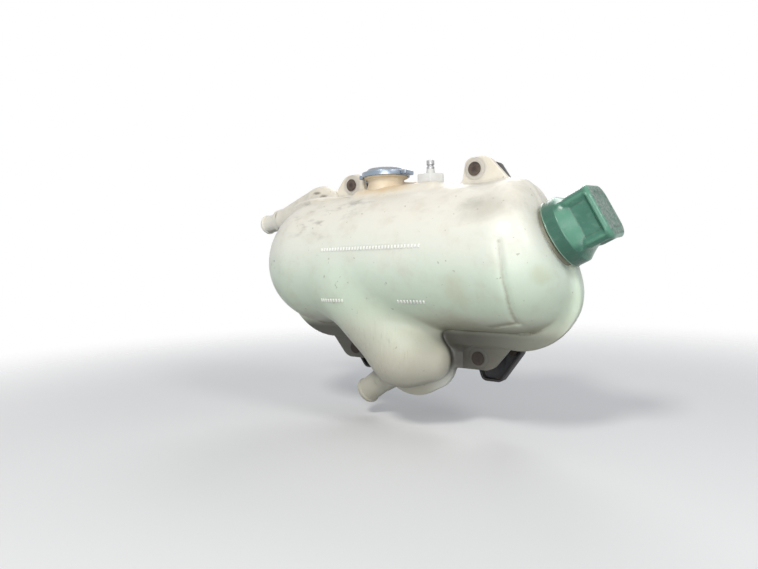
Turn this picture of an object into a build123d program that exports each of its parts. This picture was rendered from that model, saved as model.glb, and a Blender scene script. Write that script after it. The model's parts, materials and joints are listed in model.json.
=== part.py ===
# Coolant surge tank of a heavy truck, with its bracket, necks, caps and fasteners.
# Millimetres. +X is the filler end, +Z is up, and the firewall lies at y = 0, behind the bracket.
# The origin is the centre of the four bolts that hold the bracket to the firewall.
from build123d import *
from math import cos, radians, sin, tan
import os

os.makedirs("parts", exist_ok=True)

# Mounting: firewall bolts, ear bolts and the plane where the two tank halves meet
firewall_spacing_x = 274.0
firewall_spacing_z = 190.0
ear_spacing_x = 216.0
ear_centre_z = 25.0
rear_depth = 36.0
bracket_gap = 14.0
bracket_sheet = 3.0
parting_y = -(rear_depth + bracket_gap + bracket_sheet)

# Tank walls, the ledge that runs along the joint of the halves, and the shallow pan behind it
wall = 4.0
ledge_front = 6.0
ledge_back = 6.0
ledge_width = 11.0
seam_wall = 4.0
back_round = 5.0
form_back = 29.0

# Barrel, given from the centre of the ears: x along it, z up
barrel_axis_z = 6.0
barrel_r = 102.0
barrel_left_x = -153.0
barrel_right_x = 172.0
end_round_r = 75.0
barrel_top_z = barrel_axis_z + barrel_r
ear_beyond_barrel = 26.0
ear_spacing_z = 2 * (barrel_r + ear_beyond_barrel)

# Rim along the joint, seen from the front: its rise and drop past the barrel, and the bulge at the lower right
rim_rise = 2.0
rim_drop = 16.0
rim_left_inside = 3.0
rim_bulge_inside = 6.0
rim_bulge_z = -28.0
rim_bulge_r = 84.0
shoulder_r = 36.0
rim_top_z = barrel_top_z + rim_rise
rim_bottom_z = barrel_axis_z - barrel_r - rim_drop
rim_left_x = barrel_left_x + rim_left_inside
rim_bulge_x = barrel_right_x - rim_bulge_inside

# Slanted filler face: its middle, its tilt from upright and how far the recess under it reaches down
filler_beyond_barrel = 50.5
filler_face_z = 30.8
filler_tilt = 26.0
filler_forward = 12.0
filler_recess = 43.8
filler_face_x = barrel_right_x + filler_beyond_barrel

# Sump finger, from inside the barrel down to its round end, and the wider rim behind it
sump_top = (-74.0, 42.0, -8.0)
sump_end = (-5.0, 4.0, -127.0)
sump_r = 55.0
sump_rim_r = 66.0
sump_rim_end_x = 8.0
sump_rim_end_z = -125.0
sump_rim_top_x = -36.0
sump_rim_top_z = -76.0

# Inlet hump on the upper left, a horn that narrows from the barrel to its hose end
hump_start_r = 34.0
hump_start_past = 15.0
hump_start_below = 14.0
hump_end_r = 20.0
hump_end_inside = 3.0
hump_end_below = 24.0
hump_start = (barrel_left_x - hump_start_past, 0.0, barrel_top_z - hump_start_below)
hump_end = (barrel_left_x - barrel_r + hump_end_inside, 0.0, barrel_top_z - hump_end_below)

# Ears: a trapezoid around each bolt, its reach counted from the bolt, and the web between the lower two
ear_thickness = 8.0
ear_root_z = 92.0
ear_root_inner = 24.0
ear_root_outer = 64.0
ear_tip_inner = 14.0
ear_tip_outer = 19.0
ear_tip_reach = 16.0
ear_corner_r = 8.0
ear_boss_r = 14.0
ear_boss_proud = 1.5
web_under_bolts = 15.0

# Ear fasteners, M10
bolt_r = 5.0
bolt_head_flats = 16.0
bolt_head_height = 6.5
bushing_bore_r = 5.4
bushing_r = 7.5
thread_length = 22.0
standoff_r = 9.5
head_chamfer = 1.2
edge_break = 1.0

# Pressed bracket: two legs behind the ears, counted from the bolts they carry, a cross and a rim turned forward
leg_inside_ear_bolt = 30.0
leg_outside_firewall_bolt = 17.0
leg_tip_inner = 15.0
leg_tip_outer = 14.0
leg_tip_reach = 14.0
leg_foot_reach = 39.0
leg_top_slope = 38.0
leg_foot_slope = 4.0
leg_corner_r = 10.0
cross_half_height = 42.0
cross_window_x = 60.0
cross_window_z = 24.0
bracket_rim = 10.0
firewall_bolt_r = 5.0
firewall_bolt_length = 25.0
firewall_collar_r = 6.5

# Filler neck and its screw cap
neck_bore_r = 28.0
neck_wall = 4.5
neck_flange_r = 38.0
neck_flange_height = 4.0
neck_height = 28.0
thread_pitch = 8.0
thread_depth = 2.2
cap_lip_gap = 5.0
cap_height = 59.0
cap_skirt_r = 43.0
cap_skirt_height = 21.0
cap_grip_width = 71.0
cap_grip_round = 19.0
cap_panel_width = 42.0
cap_panel_depth = 5.0
cap_panel_edge = 5.0
cap_top_wall = 5.0
cap_lip_round = 2.5
cap_top_round = 3.0
cap_core_inside = 4.0
liner_height = 3.0
liner_clear = 0.6

# Pad on top of the barrel, the pressure neck and its pressed metal cap
pad_rise = 7.0
pad_left_x = -84.0
pad_right_x = 66.0
pad_front = 33.0
pad_back = 27.0
pad_corner_r = 12.0
pad_root = 16.0
pad_top_z = barrel_top_z + pad_rise
pressure_x = -41.0
pressure_bore_r = 21.0
pressure_neck_r = 28.0
pressure_neck_height = 20.0
pressure_lip_r = 33.0
pressure_lip_height = 4.0
pressure_cap_r = 36.0
pressure_cap_rim = 7.5
pressure_cap_ledge = 8.0
pressure_cap_dome = 5.0
pressure_cap_taper = 18.0
pressure_cap_sheet = 1.6
pressure_cap_tab = 8.0
pressure_tab_width = 22.0
pressure_tab_r = 4.0
pressure_clear = 0.5
seal_plate_inside = 2.0
seal_r = 17.0
seal_depth = 14.0
nipple_r = 5.0
nipple_bore_r = 3.2
nipple_length = 22.0
nipple_over_pad = 1.5
nipple_turn = 60.0
nipple_bead = 0.8
nipple_bead_length = 3.0
nipple_bead_from_end = 4.0

# Level sensor: hexagonal body, stem and terminal
sensor_x = 38.0
sensor_flats = 36.0
sensor_hex_height = 13.0
sensor_stem_r = 7.5
sensor_stem_height = 8.0
sensor_plug_r = 5.5
sensor_plug_height = 12.0
sensor_chamfer = 1.5

# Hose ends: outer radius, length, wall and the bead that holds the hose
inlet_r = 15.0
inlet_length = 40.0
outlet_r = 19.0
outlet_root_r = 25.0
outlet_root_length = 26.0
outlet_length = 66.0
outlet_tilt = 35.0
outlet_back = 14.0
spigot_wall = 3.0
spigot_bead = 1.8
spigot_bead_length = 3.6
spigot_bead_from_end = 7.0
spigot_flange = 4.0

# Gaps
hole_clear = 0.4
seat_clear = 0.3


# Places in the tank's own view: x across, forward out of the joint plane, z from the ears' centre
def at(x, forward, z):
    return Vector(x, parting_y - forward, ear_centre_z + z)


def front_plane(forward=0.0):
    return Plane(origin=at(0, forward, 0), x_dir=(1, 0, 0), z_dir=(0, -1, 0))


def save(part, name):
    part.label = name
    export_step(part, f"parts/{name}.step")


tilt = radians(filler_tilt)
filler_out = Vector(cos(tilt), 0, sin(tilt))
filler_base = at(filler_face_x, filler_forward, filler_face_z)


def filler_plane(height=0.0):
    return Plane(origin=filler_base + filler_out * height, x_dir=(0, -1, 0), z_dir=filler_out)


def level_plane(x, forward, z):
    return Plane(origin=at(x, forward, z), x_dir=(1, 0, 0), z_dir=(0, 0, 1))


# Planes across the two hose ends, counted outwards from the hump's end and from the sump's centre
def inlet_plane(height=0.0):
    way = (at(*hump_end) - at(*hump_start)).normalized()
    return Plane(origin=at(*hump_end) + way * height, x_dir=(0, 1, 0), z_dir=way)


def outlet_plane(height=0.0):
    way = Vector(-cos(radians(outlet_tilt)), 0, -sin(radians(outlet_tilt)))
    return Plane(origin=at(sump_rim_end_x, -outlet_back, sump_rim_end_z) + way * height, x_dir=(0, 1, 0), z_dir=way)


# The nipple leaves the pressure neck to the back and right
def nipple_plane(height):
    way = Vector(cos(radians(nipple_turn)), sin(radians(nipple_turn)), 0)
    origin = at(pressure_x, 0, pad_top_z + nipple_r + nipple_over_pad)
    return Plane(origin=origin + way * height, x_dir=(0, 0, 1), z_dir=way)


# x on the slanted filler face at a height z
def filler_face_at(z):
    return filler_face_x - (z - filler_face_z) * tan(tilt)


# The rim outline: barrel side, slanted filler face, lower right bulge and sump, as one flat face
def rim_outline(inset):
    low_z = filler_face_z - filler_recess
    half = (rim_top_z - rim_bottom_z) / 2
    middle_z = (rim_top_z + rim_bottom_z) / 2
    with BuildSketch(front_plane()) as outline:
        with BuildLine():
            Polyline(
                (rim_left_x, rim_top_z),
                (filler_face_at(rim_top_z), rim_top_z),
                (filler_face_at(low_z), low_z),
                (rim_bulge_x, rim_bulge_z),
                (rim_bulge_x, rim_bottom_z),
                (rim_left_x, rim_bottom_z),
                close=True,
            )
        make_face()
        fillet(outline.vertices().group_by(Axis.Y)[-1].sort_by(Axis.X)[-1], shoulder_r)
        with Locations((rim_left_x, middle_z)):
            Circle(half)
        with Locations((rim_bulge_x, rim_bulge_z)):
            Circle(rim_bulge_r)
        with Locations((sump_rim_end_x, sump_rim_end_z)):
            Circle(sump_rim_r)
        lean = Vector(sump_rim_top_x - sump_rim_end_x, sump_rim_top_z - sump_rim_end_z)
        side = Vector(-lean.Y, lean.X).normalized() * sump_rim_r
        low = Vector(sump_rim_end_x, sump_rim_end_z)
        high = Vector(sump_rim_top_x, sump_rim_top_z)
        with BuildLine():
            Polyline(low + side, high + side, high - side, low - side, close=True)
        make_face()
        with BuildLine():
            Polyline(
                (filler_face_at(low_z), low_z),
                (filler_face_at(rim_top_z), rim_top_z),
                (filler_face_at(low_z) + rim_bulge_r, rim_top_z),
                (filler_face_at(low_z) + rim_bulge_r, low_z),
                close=True,
            )
        make_face(mode=Mode.SUBTRACT)
        if inset:
            offset(amount=-inset)
    return outline.sketch


# The closed form of the whole tank, drawn in by inset: once for its outside and once for its inside
def tank_form(inset):
    axis = Axis(at(0, 0, barrel_axis_z), (1, 0, 0))
    corner_z = barrel_axis_z + barrel_r - end_round_r
    flat_x = barrel_right_x + end_round_r - inset
    with BuildPart() as form:
        with BuildSketch(front_plane()):
            with BuildLine():
                Line((barrel_left_x, barrel_axis_z), (flat_x, barrel_axis_z))
                Line((flat_x, barrel_axis_z), (flat_x, corner_z))
                RadiusArc((flat_x, corner_z), (barrel_right_x, barrel_axis_z + barrel_r - inset), -(end_round_r - inset))
                Line((barrel_right_x, barrel_axis_z + barrel_r - inset), (barrel_left_x, barrel_axis_z + barrel_r - inset))
                Line((barrel_left_x, barrel_axis_z + barrel_r - inset), (barrel_left_x, barrel_axis_z))
            make_face()
        revolve(axis=axis)
        with Locations(Plane(origin=at(barrel_left_x, 0, barrel_axis_z), z_dir=(1, 0, 0))):
            Sphere(barrel_r - inset)
        split(bisect_by=filler_plane(-inset), keep=Keep.BOTTOM)
        finger = Plane(origin=at(*sump_end), z_dir=at(*sump_top) - at(*sump_end))
        with Locations(finger, finger.offset((at(*sump_top) - at(*sump_end)).length)):
            Sphere(sump_r - inset)
        with BuildSketch(finger):
            Circle(sump_r - inset)
        extrude(amount=(at(*sump_top) - at(*sump_end)).length)
        horn = Plane(origin=at(*hump_start), z_dir=at(*hump_end) - at(*hump_start))
        with Locations(horn):
            Sphere(hump_start_r - inset)
        with BuildSketch(horn):
            Circle(hump_start_r - inset)
        with BuildSketch(horn.offset((at(*hump_end) - at(*hump_start)).length - inset)):
            Circle(hump_end_r - inset)
        loft()
        pad_centre = ((pad_left_x + pad_right_x) / 2, (pad_front - pad_back) / 2)
        with BuildSketch(level_plane(pad_centre[0], pad_centre[1], pad_top_z - inset)):
            RectangleRounded(pad_right_x - pad_left_x - 2 * inset, pad_front + pad_back - 2 * inset, pad_corner_r - inset)
        extrude(amount=-(pad_rise + pad_root))
        split(bisect_by=front_plane(inset - form_back), keep=Keep.TOP)
    return form.part


# The pan behind the ledge, and inside it the room that it adds to the barrel
def pan(inset, front):
    with BuildPart() as room:
        extrude(rim_outline(ledge_width + inset), amount=front)
        extrude(rim_outline(ledge_width + inset), amount=-(rear_depth - inset))
        if not inset:
            fillet(room.faces().sort_by(Axis.Y)[-1].edges(), back_round)
    return room.part


def ledge():
    with BuildPart() as plate:
        extrude(rim_outline(0.0), amount=ledge_front)
        extrude(rim_outline(0.0), amount=-ledge_back)
    return plate.part


def ear_outline(side_x, side_z):
    bolt_x = ear_spacing_x / 2
    tip_z = ear_spacing_z / 2 + ear_tip_reach
    with BuildSketch(front_plane()) as ear:
        with BuildLine():
            Polyline(
                (side_x * (bolt_x - ear_root_inner), side_z * ear_root_z),
                (side_x * (bolt_x - ear_tip_inner), side_z * tip_z),
                (side_x * (bolt_x + ear_tip_outer), side_z * tip_z),
                (side_x * (bolt_x + ear_root_outer), side_z * ear_root_z),
                close=True,
            )
        make_face()
        fillet(ear.vertices().sort_by(lambda v: -side_z * v.Y)[:2], ear_corner_r)
    return ear.sketch


corners = [(side_x, side_z) for side_z in (1, -1) for side_x in (-1, 1)]
ear_places = [(side_x * ear_spacing_x / 2, side_z * ear_spacing_z / 2) for side_x, side_z in corners]
hollow = tank_form(wall) + pan(wall, ledge_front - seam_wall)
closed = tank_form(0.0) + pan(0.0, ledge_front) + ledge()

# Holes through the walls: filler, pressure neck, sensor and the two hose ends
with BuildPart() as wall_holes:
    with BuildSketch(filler_plane(-3 * wall)):
        Circle(neck_bore_r)
    extrude(amount=4 * wall)
    with BuildSketch(level_plane(pressure_x, 0, pad_top_z - 4 * wall)):
        Circle(pressure_bore_r)
    extrude(amount=5 * wall)
    with BuildSketch(level_plane(sensor_x, 0, pad_top_z - 4 * wall)):
        Circle(sensor_stem_r + hole_clear)
    extrude(amount=5 * wall)
    with BuildSketch(inlet_plane(-3 * wall)):
        Circle(inlet_r - spigot_wall)
    extrude(amount=4 * wall)
    with BuildSketch(outlet_plane(sump_rim_r - 3 * wall)):
        Circle(outlet_r - spigot_wall)
    extrude(amount=4 * wall)

# Each half of the tank is what lies on its side of the joint, inside a square larger than the tank
view_size = 3 * (rim_bulge_x + rim_bulge_r)

# The four ears with the holes for their sleeves; a web joins the lower two to the sump
web_bottom_z = -ear_spacing_z / 2 - web_under_bolts
with BuildPart() as ears:
    for side_x, side_z in corners:
        extrude(ear_outline(side_x, side_z), amount=-ear_thickness)
    with BuildSketch(front_plane()):
        with Locations((0, (web_bottom_z - ear_root_z) / 2)):
            Rectangle(ear_spacing_x, -ear_root_z - web_bottom_z)
    extrude(amount=-ear_thickness)
    with BuildSketch(front_plane()):
        with Locations(*ear_places):
            Circle(bushing_r)
    extrude(amount=-ear_thickness, mode=Mode.SUBTRACT)

with BuildPart() as tank_front_shell:
    add(closed - hollow - wall_holes.part)
    with BuildSketch(front_plane()):
        Rectangle(view_size, view_size)
    extrude(amount=barrel_r + ledge_front, mode=Mode.INTERSECT)
save(tank_front_shell.part, "tank_front_shell")

with BuildPart() as tank_rear_shell:
    add(closed + ears.part - hollow - wall_holes.part)
    with BuildSketch(front_plane()):
        Rectangle(view_size, view_size)
    extrude(amount=-rear_depth, mode=Mode.INTERSECT)
    with BuildSketch(front_plane(ear_boss_proud)):
        with Locations(*ear_places):
            Circle(ear_boss_r)
            Circle(bushing_r, mode=Mode.SUBTRACT)
    extrude(amount=-ear_boss_proud)
save(tank_rear_shell.part, "tank_rear_shell")

# Steel sleeves in the ears, and stand-off tubes from the ears back to the bracket
standoff_length = rear_depth + bracket_gap - ear_thickness
for number, (x, z) in enumerate(ear_places, start=1):
    with BuildPart() as ear_bushing:
        with BuildSketch(front_plane(ear_boss_proud)):
            with Locations((x, z)):
                Circle(bushing_r)
                Circle(bushing_bore_r, mode=Mode.SUBTRACT)
        extrude(amount=-(ear_boss_proud + ear_thickness))
    save(ear_bushing.part, f"ear_bushing_{number}")

    with BuildPart() as standoff:
        with BuildSketch(front_plane(-ear_thickness)):
            with Locations((x, z)):
                Circle(standoff_r)
        extrude(amount=-standoff_length)
        chamfer(standoff.edges().filter_by(GeomType.CIRCLE), edge_break)
        with BuildSketch(front_plane(-ear_thickness)):
            with Locations((x, z)):
                Circle(bolt_r)
        extrude(amount=-standoff_length, mode=Mode.SUBTRACT)
    save(standoff.part, f"standoff_{number}")

    with BuildPart() as ear_bolt:
        with BuildSketch(front_plane(ear_boss_proud)):
            with Locations((x, z)):
                RegularPolygon(bolt_head_flats / 2, 6, major_radius=False)
        extrude(amount=bolt_head_height)
        chamfer(ear_bolt.faces().sort_by(Axis.Y)[0].edges(), head_chamfer)
        with BuildSketch(front_plane(ear_boss_proud)):
            with Locations((x, z)):
                Circle(bolt_r)
        extrude(amount=-(ear_boss_proud + ear_thickness + thread_length))
    save(ear_bolt.part, f"ear_bolt_{number}")

# Bracket: one leg outline, mirrored, and the cross between the legs
bracket_front = rear_depth + bracket_gap


def bracket_outline():
    bolt_x = ear_spacing_x / 2
    bolt_z = ear_spacing_z / 2
    leg_inner_x = bolt_x - leg_inside_ear_bolt
    leg_outer_x = firewall_spacing_x / 2 + leg_outside_firewall_bolt
    with BuildSketch(front_plane(-bracket_front)) as sheet:
        with BuildLine():
            Polyline(
                (bolt_x - leg_tip_inner, bolt_z + leg_tip_reach),
                (bolt_x + leg_tip_outer, bolt_z + leg_tip_reach),
                (leg_outer_x, bolt_z - leg_top_slope),
                (leg_outer_x, leg_foot_slope - bolt_z),
                (bolt_x + leg_tip_outer, -bolt_z - leg_foot_reach),
                (bolt_x - leg_tip_inner, -bolt_z - leg_foot_reach),
                (leg_inner_x, leg_foot_slope - bolt_z),
                (leg_inner_x, bolt_z - leg_top_slope),
                close=True,
            )
        make_face()
        mirror(about=Plane.YZ)
        Rectangle(2 * leg_inner_x + leg_corner_r, 2 * cross_half_height)
        fillet(sheet.vertices(), leg_corner_r)
    return sheet.sketch


firewall_bolt_places = [(side_x * firewall_spacing_x / 2, side_z * firewall_spacing_z / 2 - ear_centre_z)
                        for side_x, side_z in corners]
with BuildPart() as mounting_bracket:
    extrude(bracket_outline(), amount=-bracket_sheet)
    extrude(bracket_outline(), amount=bracket_rim)
    with BuildSketch(front_plane(-bracket_front)):
        add(front_plane(-bracket_front).to_local_coords(bracket_outline()))
        offset(amount=-bracket_sheet)
    extrude(amount=bracket_rim, mode=Mode.SUBTRACT)
    with BuildSketch(front_plane(-bracket_front)):
        RectangleRounded(2 * cross_window_x, 2 * cross_window_z, leg_corner_r)
    extrude(amount=-bracket_sheet, mode=Mode.SUBTRACT)
    with BuildSketch(front_plane(-bracket_front)):
        with Locations(*firewall_bolt_places):
            Circle(firewall_collar_r)
    extrude(amount=-bracket_sheet, mode=Mode.SUBTRACT)
save(mounting_bracket.part, "mounting_bracket")

# Each firewall bolt is pressed into the sheet by a collar and stands out behind it
for number, (x, z) in enumerate(firewall_bolt_places, start=1):
    with BuildPart() as firewall_bolt:
        with BuildSketch(front_plane(-bracket_front)):
            with Locations((x, z)):
                RegularPolygon(bolt_head_flats / 2, 6, major_radius=False)
        extrude(amount=bolt_head_height)
        chamfer(firewall_bolt.faces().sort_by(Axis.Y)[0].edges(), head_chamfer)
        with BuildSketch(front_plane(-bracket_front)):
            with Locations((x, z)):
                Circle(firewall_collar_r)
        extrude(amount=-bracket_sheet)
        with BuildSketch(front_plane(-bracket_front)):
            with Locations((x, z)):
                Circle(firewall_bolt_r)
        extrude(amount=-(bracket_sheet + firewall_bolt_length))
    save(firewall_bolt.part, f"firewall_bolt_{number}")

# Filler neck: a flange welded on the slanted face and the tube that carries the thread
with BuildPart() as filler_neck:
    with BuildSketch(filler_plane()):
        Circle(neck_flange_r)
    extrude(amount=neck_flange_height)
    chamfer(filler_neck.faces().sort_by(Axis.X)[-1].edges(), edge_break)
    with BuildSketch(filler_plane()):
        Circle(neck_bore_r + neck_wall)
    extrude(amount=neck_height)
    with BuildSketch(filler_plane()):
        Circle(neck_bore_r)
    extrude(amount=neck_height, mode=Mode.SUBTRACT)
save(filler_neck.part, "filler_neck")

# Liner: the sealing disc that lies on the mouth of the neck, inside the cap
cap_bore_r = neck_bore_r + neck_wall + thread_depth + seat_clear
with BuildPart() as filler_cap_liner:
    with BuildSketch(filler_plane(neck_height)):
        Circle(cap_bore_r - liner_clear)
    extrude(amount=liner_height)
save(filler_cap_liner.part, "filler_cap_liner")

# Screw cap: round skirt, four-cornered grip with sunk panels, hollow below
cap_lip = neck_flange_height + cap_lip_gap
cap_top = cap_lip + cap_height
grip_foot = cap_lip + cap_skirt_height
core_r = neck_bore_r - cap_core_inside
liner_top = neck_height + liner_height
with BuildPart() as filler_cap:
    with BuildSketch(filler_plane(cap_lip)):
        Circle(cap_skirt_r)
    extrude(amount=cap_skirt_height)
    fillet(filler_cap.edges().filter_by(GeomType.CIRCLE), cap_lip_round)
    with BuildSketch(filler_plane(grip_foot)):
        RectangleRounded(cap_grip_width, cap_grip_width, cap_grip_round)
    extrude(amount=cap_top - grip_foot)
    fillet(filler_cap.faces().sort_by(Axis((0, 0, 0), filler_out))[-1].edges(), cap_top_round)
    with BuildSketch(filler_plane(grip_foot + cap_panel_edge)):
        with PolarLocations(cap_grip_width / 2, 4):
            Rectangle(2 * cap_panel_depth, cap_panel_width)
    extrude(amount=cap_top - grip_foot - 2 * cap_panel_edge, mode=Mode.SUBTRACT)
    with BuildSketch(filler_plane(cap_lip)):
        Circle(cap_bore_r)
    extrude(amount=liner_top - cap_lip, mode=Mode.SUBTRACT)
    with BuildSketch(filler_plane(liner_top)):
        Circle(core_r)
    extrude(amount=cap_top - cap_top_wall - liner_top, mode=Mode.SUBTRACT)
save(filler_cap.part, "filler_cap")

# Pressure neck on the pad, with its lip and the overflow nipple behind
neck_top_z = pad_top_z + pressure_neck_height
with BuildPart() as pressure_neck:
    with BuildSketch(level_plane(pressure_x, 0, pad_top_z)):
        Circle(pressure_neck_r)
    extrude(amount=pressure_neck_height)
    with BuildSketch(level_plane(pressure_x, 0, neck_top_z)):
        Circle(pressure_lip_r)
    extrude(amount=-pressure_lip_height)
    with BuildSketch(nipple_plane(0)):
        Circle(nipple_r)
    extrude(amount=pressure_neck_r + nipple_length)
    with BuildSketch(nipple_plane(pressure_neck_r + nipple_length - nipple_bead_from_end)):
        Circle(nipple_r + nipple_bead)
    extrude(amount=nipple_bead_length)
    with BuildSketch(level_plane(pressure_x, 0, pad_top_z)):
        Circle(pressure_bore_r)
    extrude(amount=pressure_neck_height, mode=Mode.SUBTRACT)
    with BuildSketch(nipple_plane(0)):
        Circle(nipple_bore_r)
    extrude(amount=pressure_neck_r + nipple_length, mode=Mode.SUBTRACT)
save(pressure_neck.part, "pressure_neck")

# Spring-loaded seal: plate on the mouth of the neck and the valve stem below it
with BuildPart() as pressure_cap_seal:
    with BuildSketch(level_plane(pressure_x, 0, neck_top_z)):
        Circle(pressure_lip_r - seal_plate_inside)
    extrude(amount=liner_height)
    with BuildSketch(level_plane(pressure_x, 0, neck_top_z)):
        Circle(seal_r)
    extrude(amount=-seal_depth)
save(pressure_cap_seal.part, "pressure_cap_seal")

# Pressed metal cap: rim, raised middle and two grip tabs
cap_seat_z = neck_top_z + liner_height
with BuildPart() as pressure_cap:
    with BuildSketch(level_plane(pressure_x, 0, cap_seat_z + pressure_cap_sheet)):
        Circle(pressure_cap_r)
        with Locations((pressure_cap_r, 0), (-pressure_cap_r, 0)):
            RectangleRounded(2 * pressure_cap_tab, pressure_tab_width, pressure_tab_r)
    extrude(amount=-pressure_cap_rim)
    with BuildSketch(level_plane(pressure_x, 0, cap_seat_z)):
        Circle(pressure_lip_r + pressure_clear)
    extrude(amount=-pressure_cap_rim, mode=Mode.SUBTRACT)
    with BuildSketch(level_plane(pressure_x, 0, cap_seat_z + pressure_cap_sheet)):
        Circle(pressure_cap_r - pressure_cap_ledge)
    extrude(amount=pressure_cap_dome, taper=pressure_cap_taper)
    with BuildSketch(level_plane(pressure_x, 0, cap_seat_z)):
        Circle(pressure_cap_r - pressure_cap_ledge - pressure_cap_sheet)
    extrude(amount=pressure_cap_dome, taper=pressure_cap_taper, mode=Mode.SUBTRACT)
save(pressure_cap.part, "pressure_cap")

# Level sensor: hexagonal body on the pad, stem, and the terminal that takes the lead
with BuildPart() as level_sensor_hex:
    with BuildSketch(level_plane(sensor_x, 0, pad_top_z)):
        RegularPolygon(sensor_flats / 2, 6, major_radius=False)
    extrude(amount=sensor_hex_height)
    chamfer(level_sensor_hex.faces().sort_by(Axis.Z)[-1].edges(), sensor_chamfer)
    with BuildSketch(level_plane(sensor_x, 0, pad_top_z - 3 * wall)):
        Circle(sensor_stem_r)
    extrude(amount=3 * wall + sensor_hex_height + sensor_stem_height)
save(level_sensor_hex.part, "level_sensor_hex")

with BuildPart() as level_sensor_plug:
    with BuildSketch(level_plane(sensor_x, 0, pad_top_z + sensor_hex_height + sensor_stem_height)):
        Circle(sensor_plug_r)
    extrude(amount=sensor_plug_height)
    chamfer(level_sensor_plug.faces().sort_by(Axis.Z)[-1].edges(), edge_break)
save(level_sensor_plug.part, "level_sensor_plug")

# Hose ends: the inlet closes the horn of the hump, the outlet leaves the sump's side
with BuildPart() as inlet_spigot:
    with BuildSketch(inlet_plane()):
        Circle(hump_end_r)
    extrude(amount=spigot_flange)
    with BuildSketch(inlet_plane()):
        Circle(inlet_r)
    extrude(amount=inlet_length)
    with BuildSketch(inlet_plane(inlet_length - spigot_bead_from_end)):
        Circle(inlet_r + spigot_bead)
    extrude(amount=spigot_bead_length)
    with BuildSketch(inlet_plane()):
        Circle(inlet_r - spigot_wall)
    extrude(amount=inlet_length, mode=Mode.SUBTRACT)
save(inlet_spigot.part, "inlet_spigot")

with BuildPart() as outlet_spigot:
    with BuildSketch(outlet_plane(sump_rim_r - 2 * wall)):
        Circle(outlet_root_r)
    with BuildSketch(outlet_plane(sump_rim_r + outlet_root_length)):
        Circle(outlet_r)
    loft()
    with BuildSketch(outlet_plane(sump_rim_r)):
        Circle(outlet_r)
    extrude(amount=outlet_length)
    with BuildSketch(outlet_plane(sump_rim_r + outlet_length - spigot_bead_from_end)):
        Circle(outlet_r + spigot_bead)
    extrude(amount=spigot_bead_length)
    add(closed + ears.part, mode=Mode.SUBTRACT)
    with BuildSketch(outlet_plane(sump_rim_r - 4 * wall)):
        Circle(outlet_r - spigot_wall)
    extrude(amount=outlet_length + 4 * wall, mode=Mode.SUBTRACT)
save(outlet_spigot.part, "outlet_spigot")
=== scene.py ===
# %% [markdown]
# # Dressing a truck's coolant surge tank
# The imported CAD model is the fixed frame: it says where each shell, neck, cap and bolt is. This lesson
# builds the looks around it, in metres, with x along the tank, z up and the firewall behind at y = 0.

# %% Load the frame
import json
import math

import bmesh
import bpy
import numpy as np
from mathutils import Matrix, Vector
from mathutils.bvhtree import BVHTree


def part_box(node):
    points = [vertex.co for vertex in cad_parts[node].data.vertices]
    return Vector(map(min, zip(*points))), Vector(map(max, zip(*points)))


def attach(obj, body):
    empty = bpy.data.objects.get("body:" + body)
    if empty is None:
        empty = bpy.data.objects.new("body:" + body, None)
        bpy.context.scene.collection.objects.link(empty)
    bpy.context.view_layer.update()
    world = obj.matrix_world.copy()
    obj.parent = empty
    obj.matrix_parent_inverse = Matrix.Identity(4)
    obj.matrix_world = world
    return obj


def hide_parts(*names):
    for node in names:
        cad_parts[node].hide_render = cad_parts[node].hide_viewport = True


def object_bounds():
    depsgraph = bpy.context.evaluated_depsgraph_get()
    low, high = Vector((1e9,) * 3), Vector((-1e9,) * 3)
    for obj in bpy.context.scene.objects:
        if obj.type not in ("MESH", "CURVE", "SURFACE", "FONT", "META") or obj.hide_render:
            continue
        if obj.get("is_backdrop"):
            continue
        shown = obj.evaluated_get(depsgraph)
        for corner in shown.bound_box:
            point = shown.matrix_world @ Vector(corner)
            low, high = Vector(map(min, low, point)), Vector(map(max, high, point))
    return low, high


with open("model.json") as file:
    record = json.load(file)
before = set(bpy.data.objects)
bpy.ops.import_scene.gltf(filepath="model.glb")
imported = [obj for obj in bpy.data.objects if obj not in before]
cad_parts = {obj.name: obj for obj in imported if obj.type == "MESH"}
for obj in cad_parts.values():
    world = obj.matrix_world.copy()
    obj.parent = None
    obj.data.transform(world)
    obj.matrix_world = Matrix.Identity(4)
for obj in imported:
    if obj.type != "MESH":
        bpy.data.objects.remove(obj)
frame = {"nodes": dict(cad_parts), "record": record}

cad_low, cad_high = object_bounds()

# %% [markdown]
# ## Places
# The tank is measured in its own view, in millimetres: x across, forward out of the plane where its
# two halves meet, and z up from the centre of its four ears. One helper turns such a place into the
# frame's metres, and two turn whole arrays of points there and back.

# %% Places
MM = 0.001
JOINT_Y, EARS_Z = -53, 25
UP, FRONT = Vector((0, 0, 1)), Vector((0, -1, 0))


def at(x, forward, z):
    return Vector((x, JOINT_Y - forward, EARS_Z + z)) * MM


def tank_view(points):
    return np.stack((points[:, 0] / MM, JOINT_Y - points[:, 1] / MM, points[:, 2] / MM - EARS_Z), axis=1)


def from_tank_view(view):
    return np.stack((view[:, 0], JOINT_Y - view[:, 1], view[:, 2] + EARS_Z), axis=1) * MM


FILLER_X, FILLER_FORWARD, FILLER_Z, FILLER_TILT = 222.5, 12, 30.8, math.radians(26)
FILLER_BASE = at(FILLER_X, FILLER_FORWARD, FILLER_Z)
FILLER_OUT = Vector((math.cos(FILLER_TILT), 0, math.sin(FILLER_TILT)))
PRESSURE_BASE = at(-41, 0, 115)
SENSOR_BASE = at(38, 0, 115)
print("joint plane at y =", JOINT_Y * MM, "m")

# %% [markdown]
# ## Small tools
# Objects are all added the same way, and so are nodes: a node's inputs are values or the outputs of
# other nodes. Short functions name the few kinds of node that the finishes are made of.

# %% Object and node helpers
def add_object(name, data):
    made = bpy.data.objects.new(name, data)
    bpy.context.scene.collection.objects.link(made)
    return made


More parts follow.
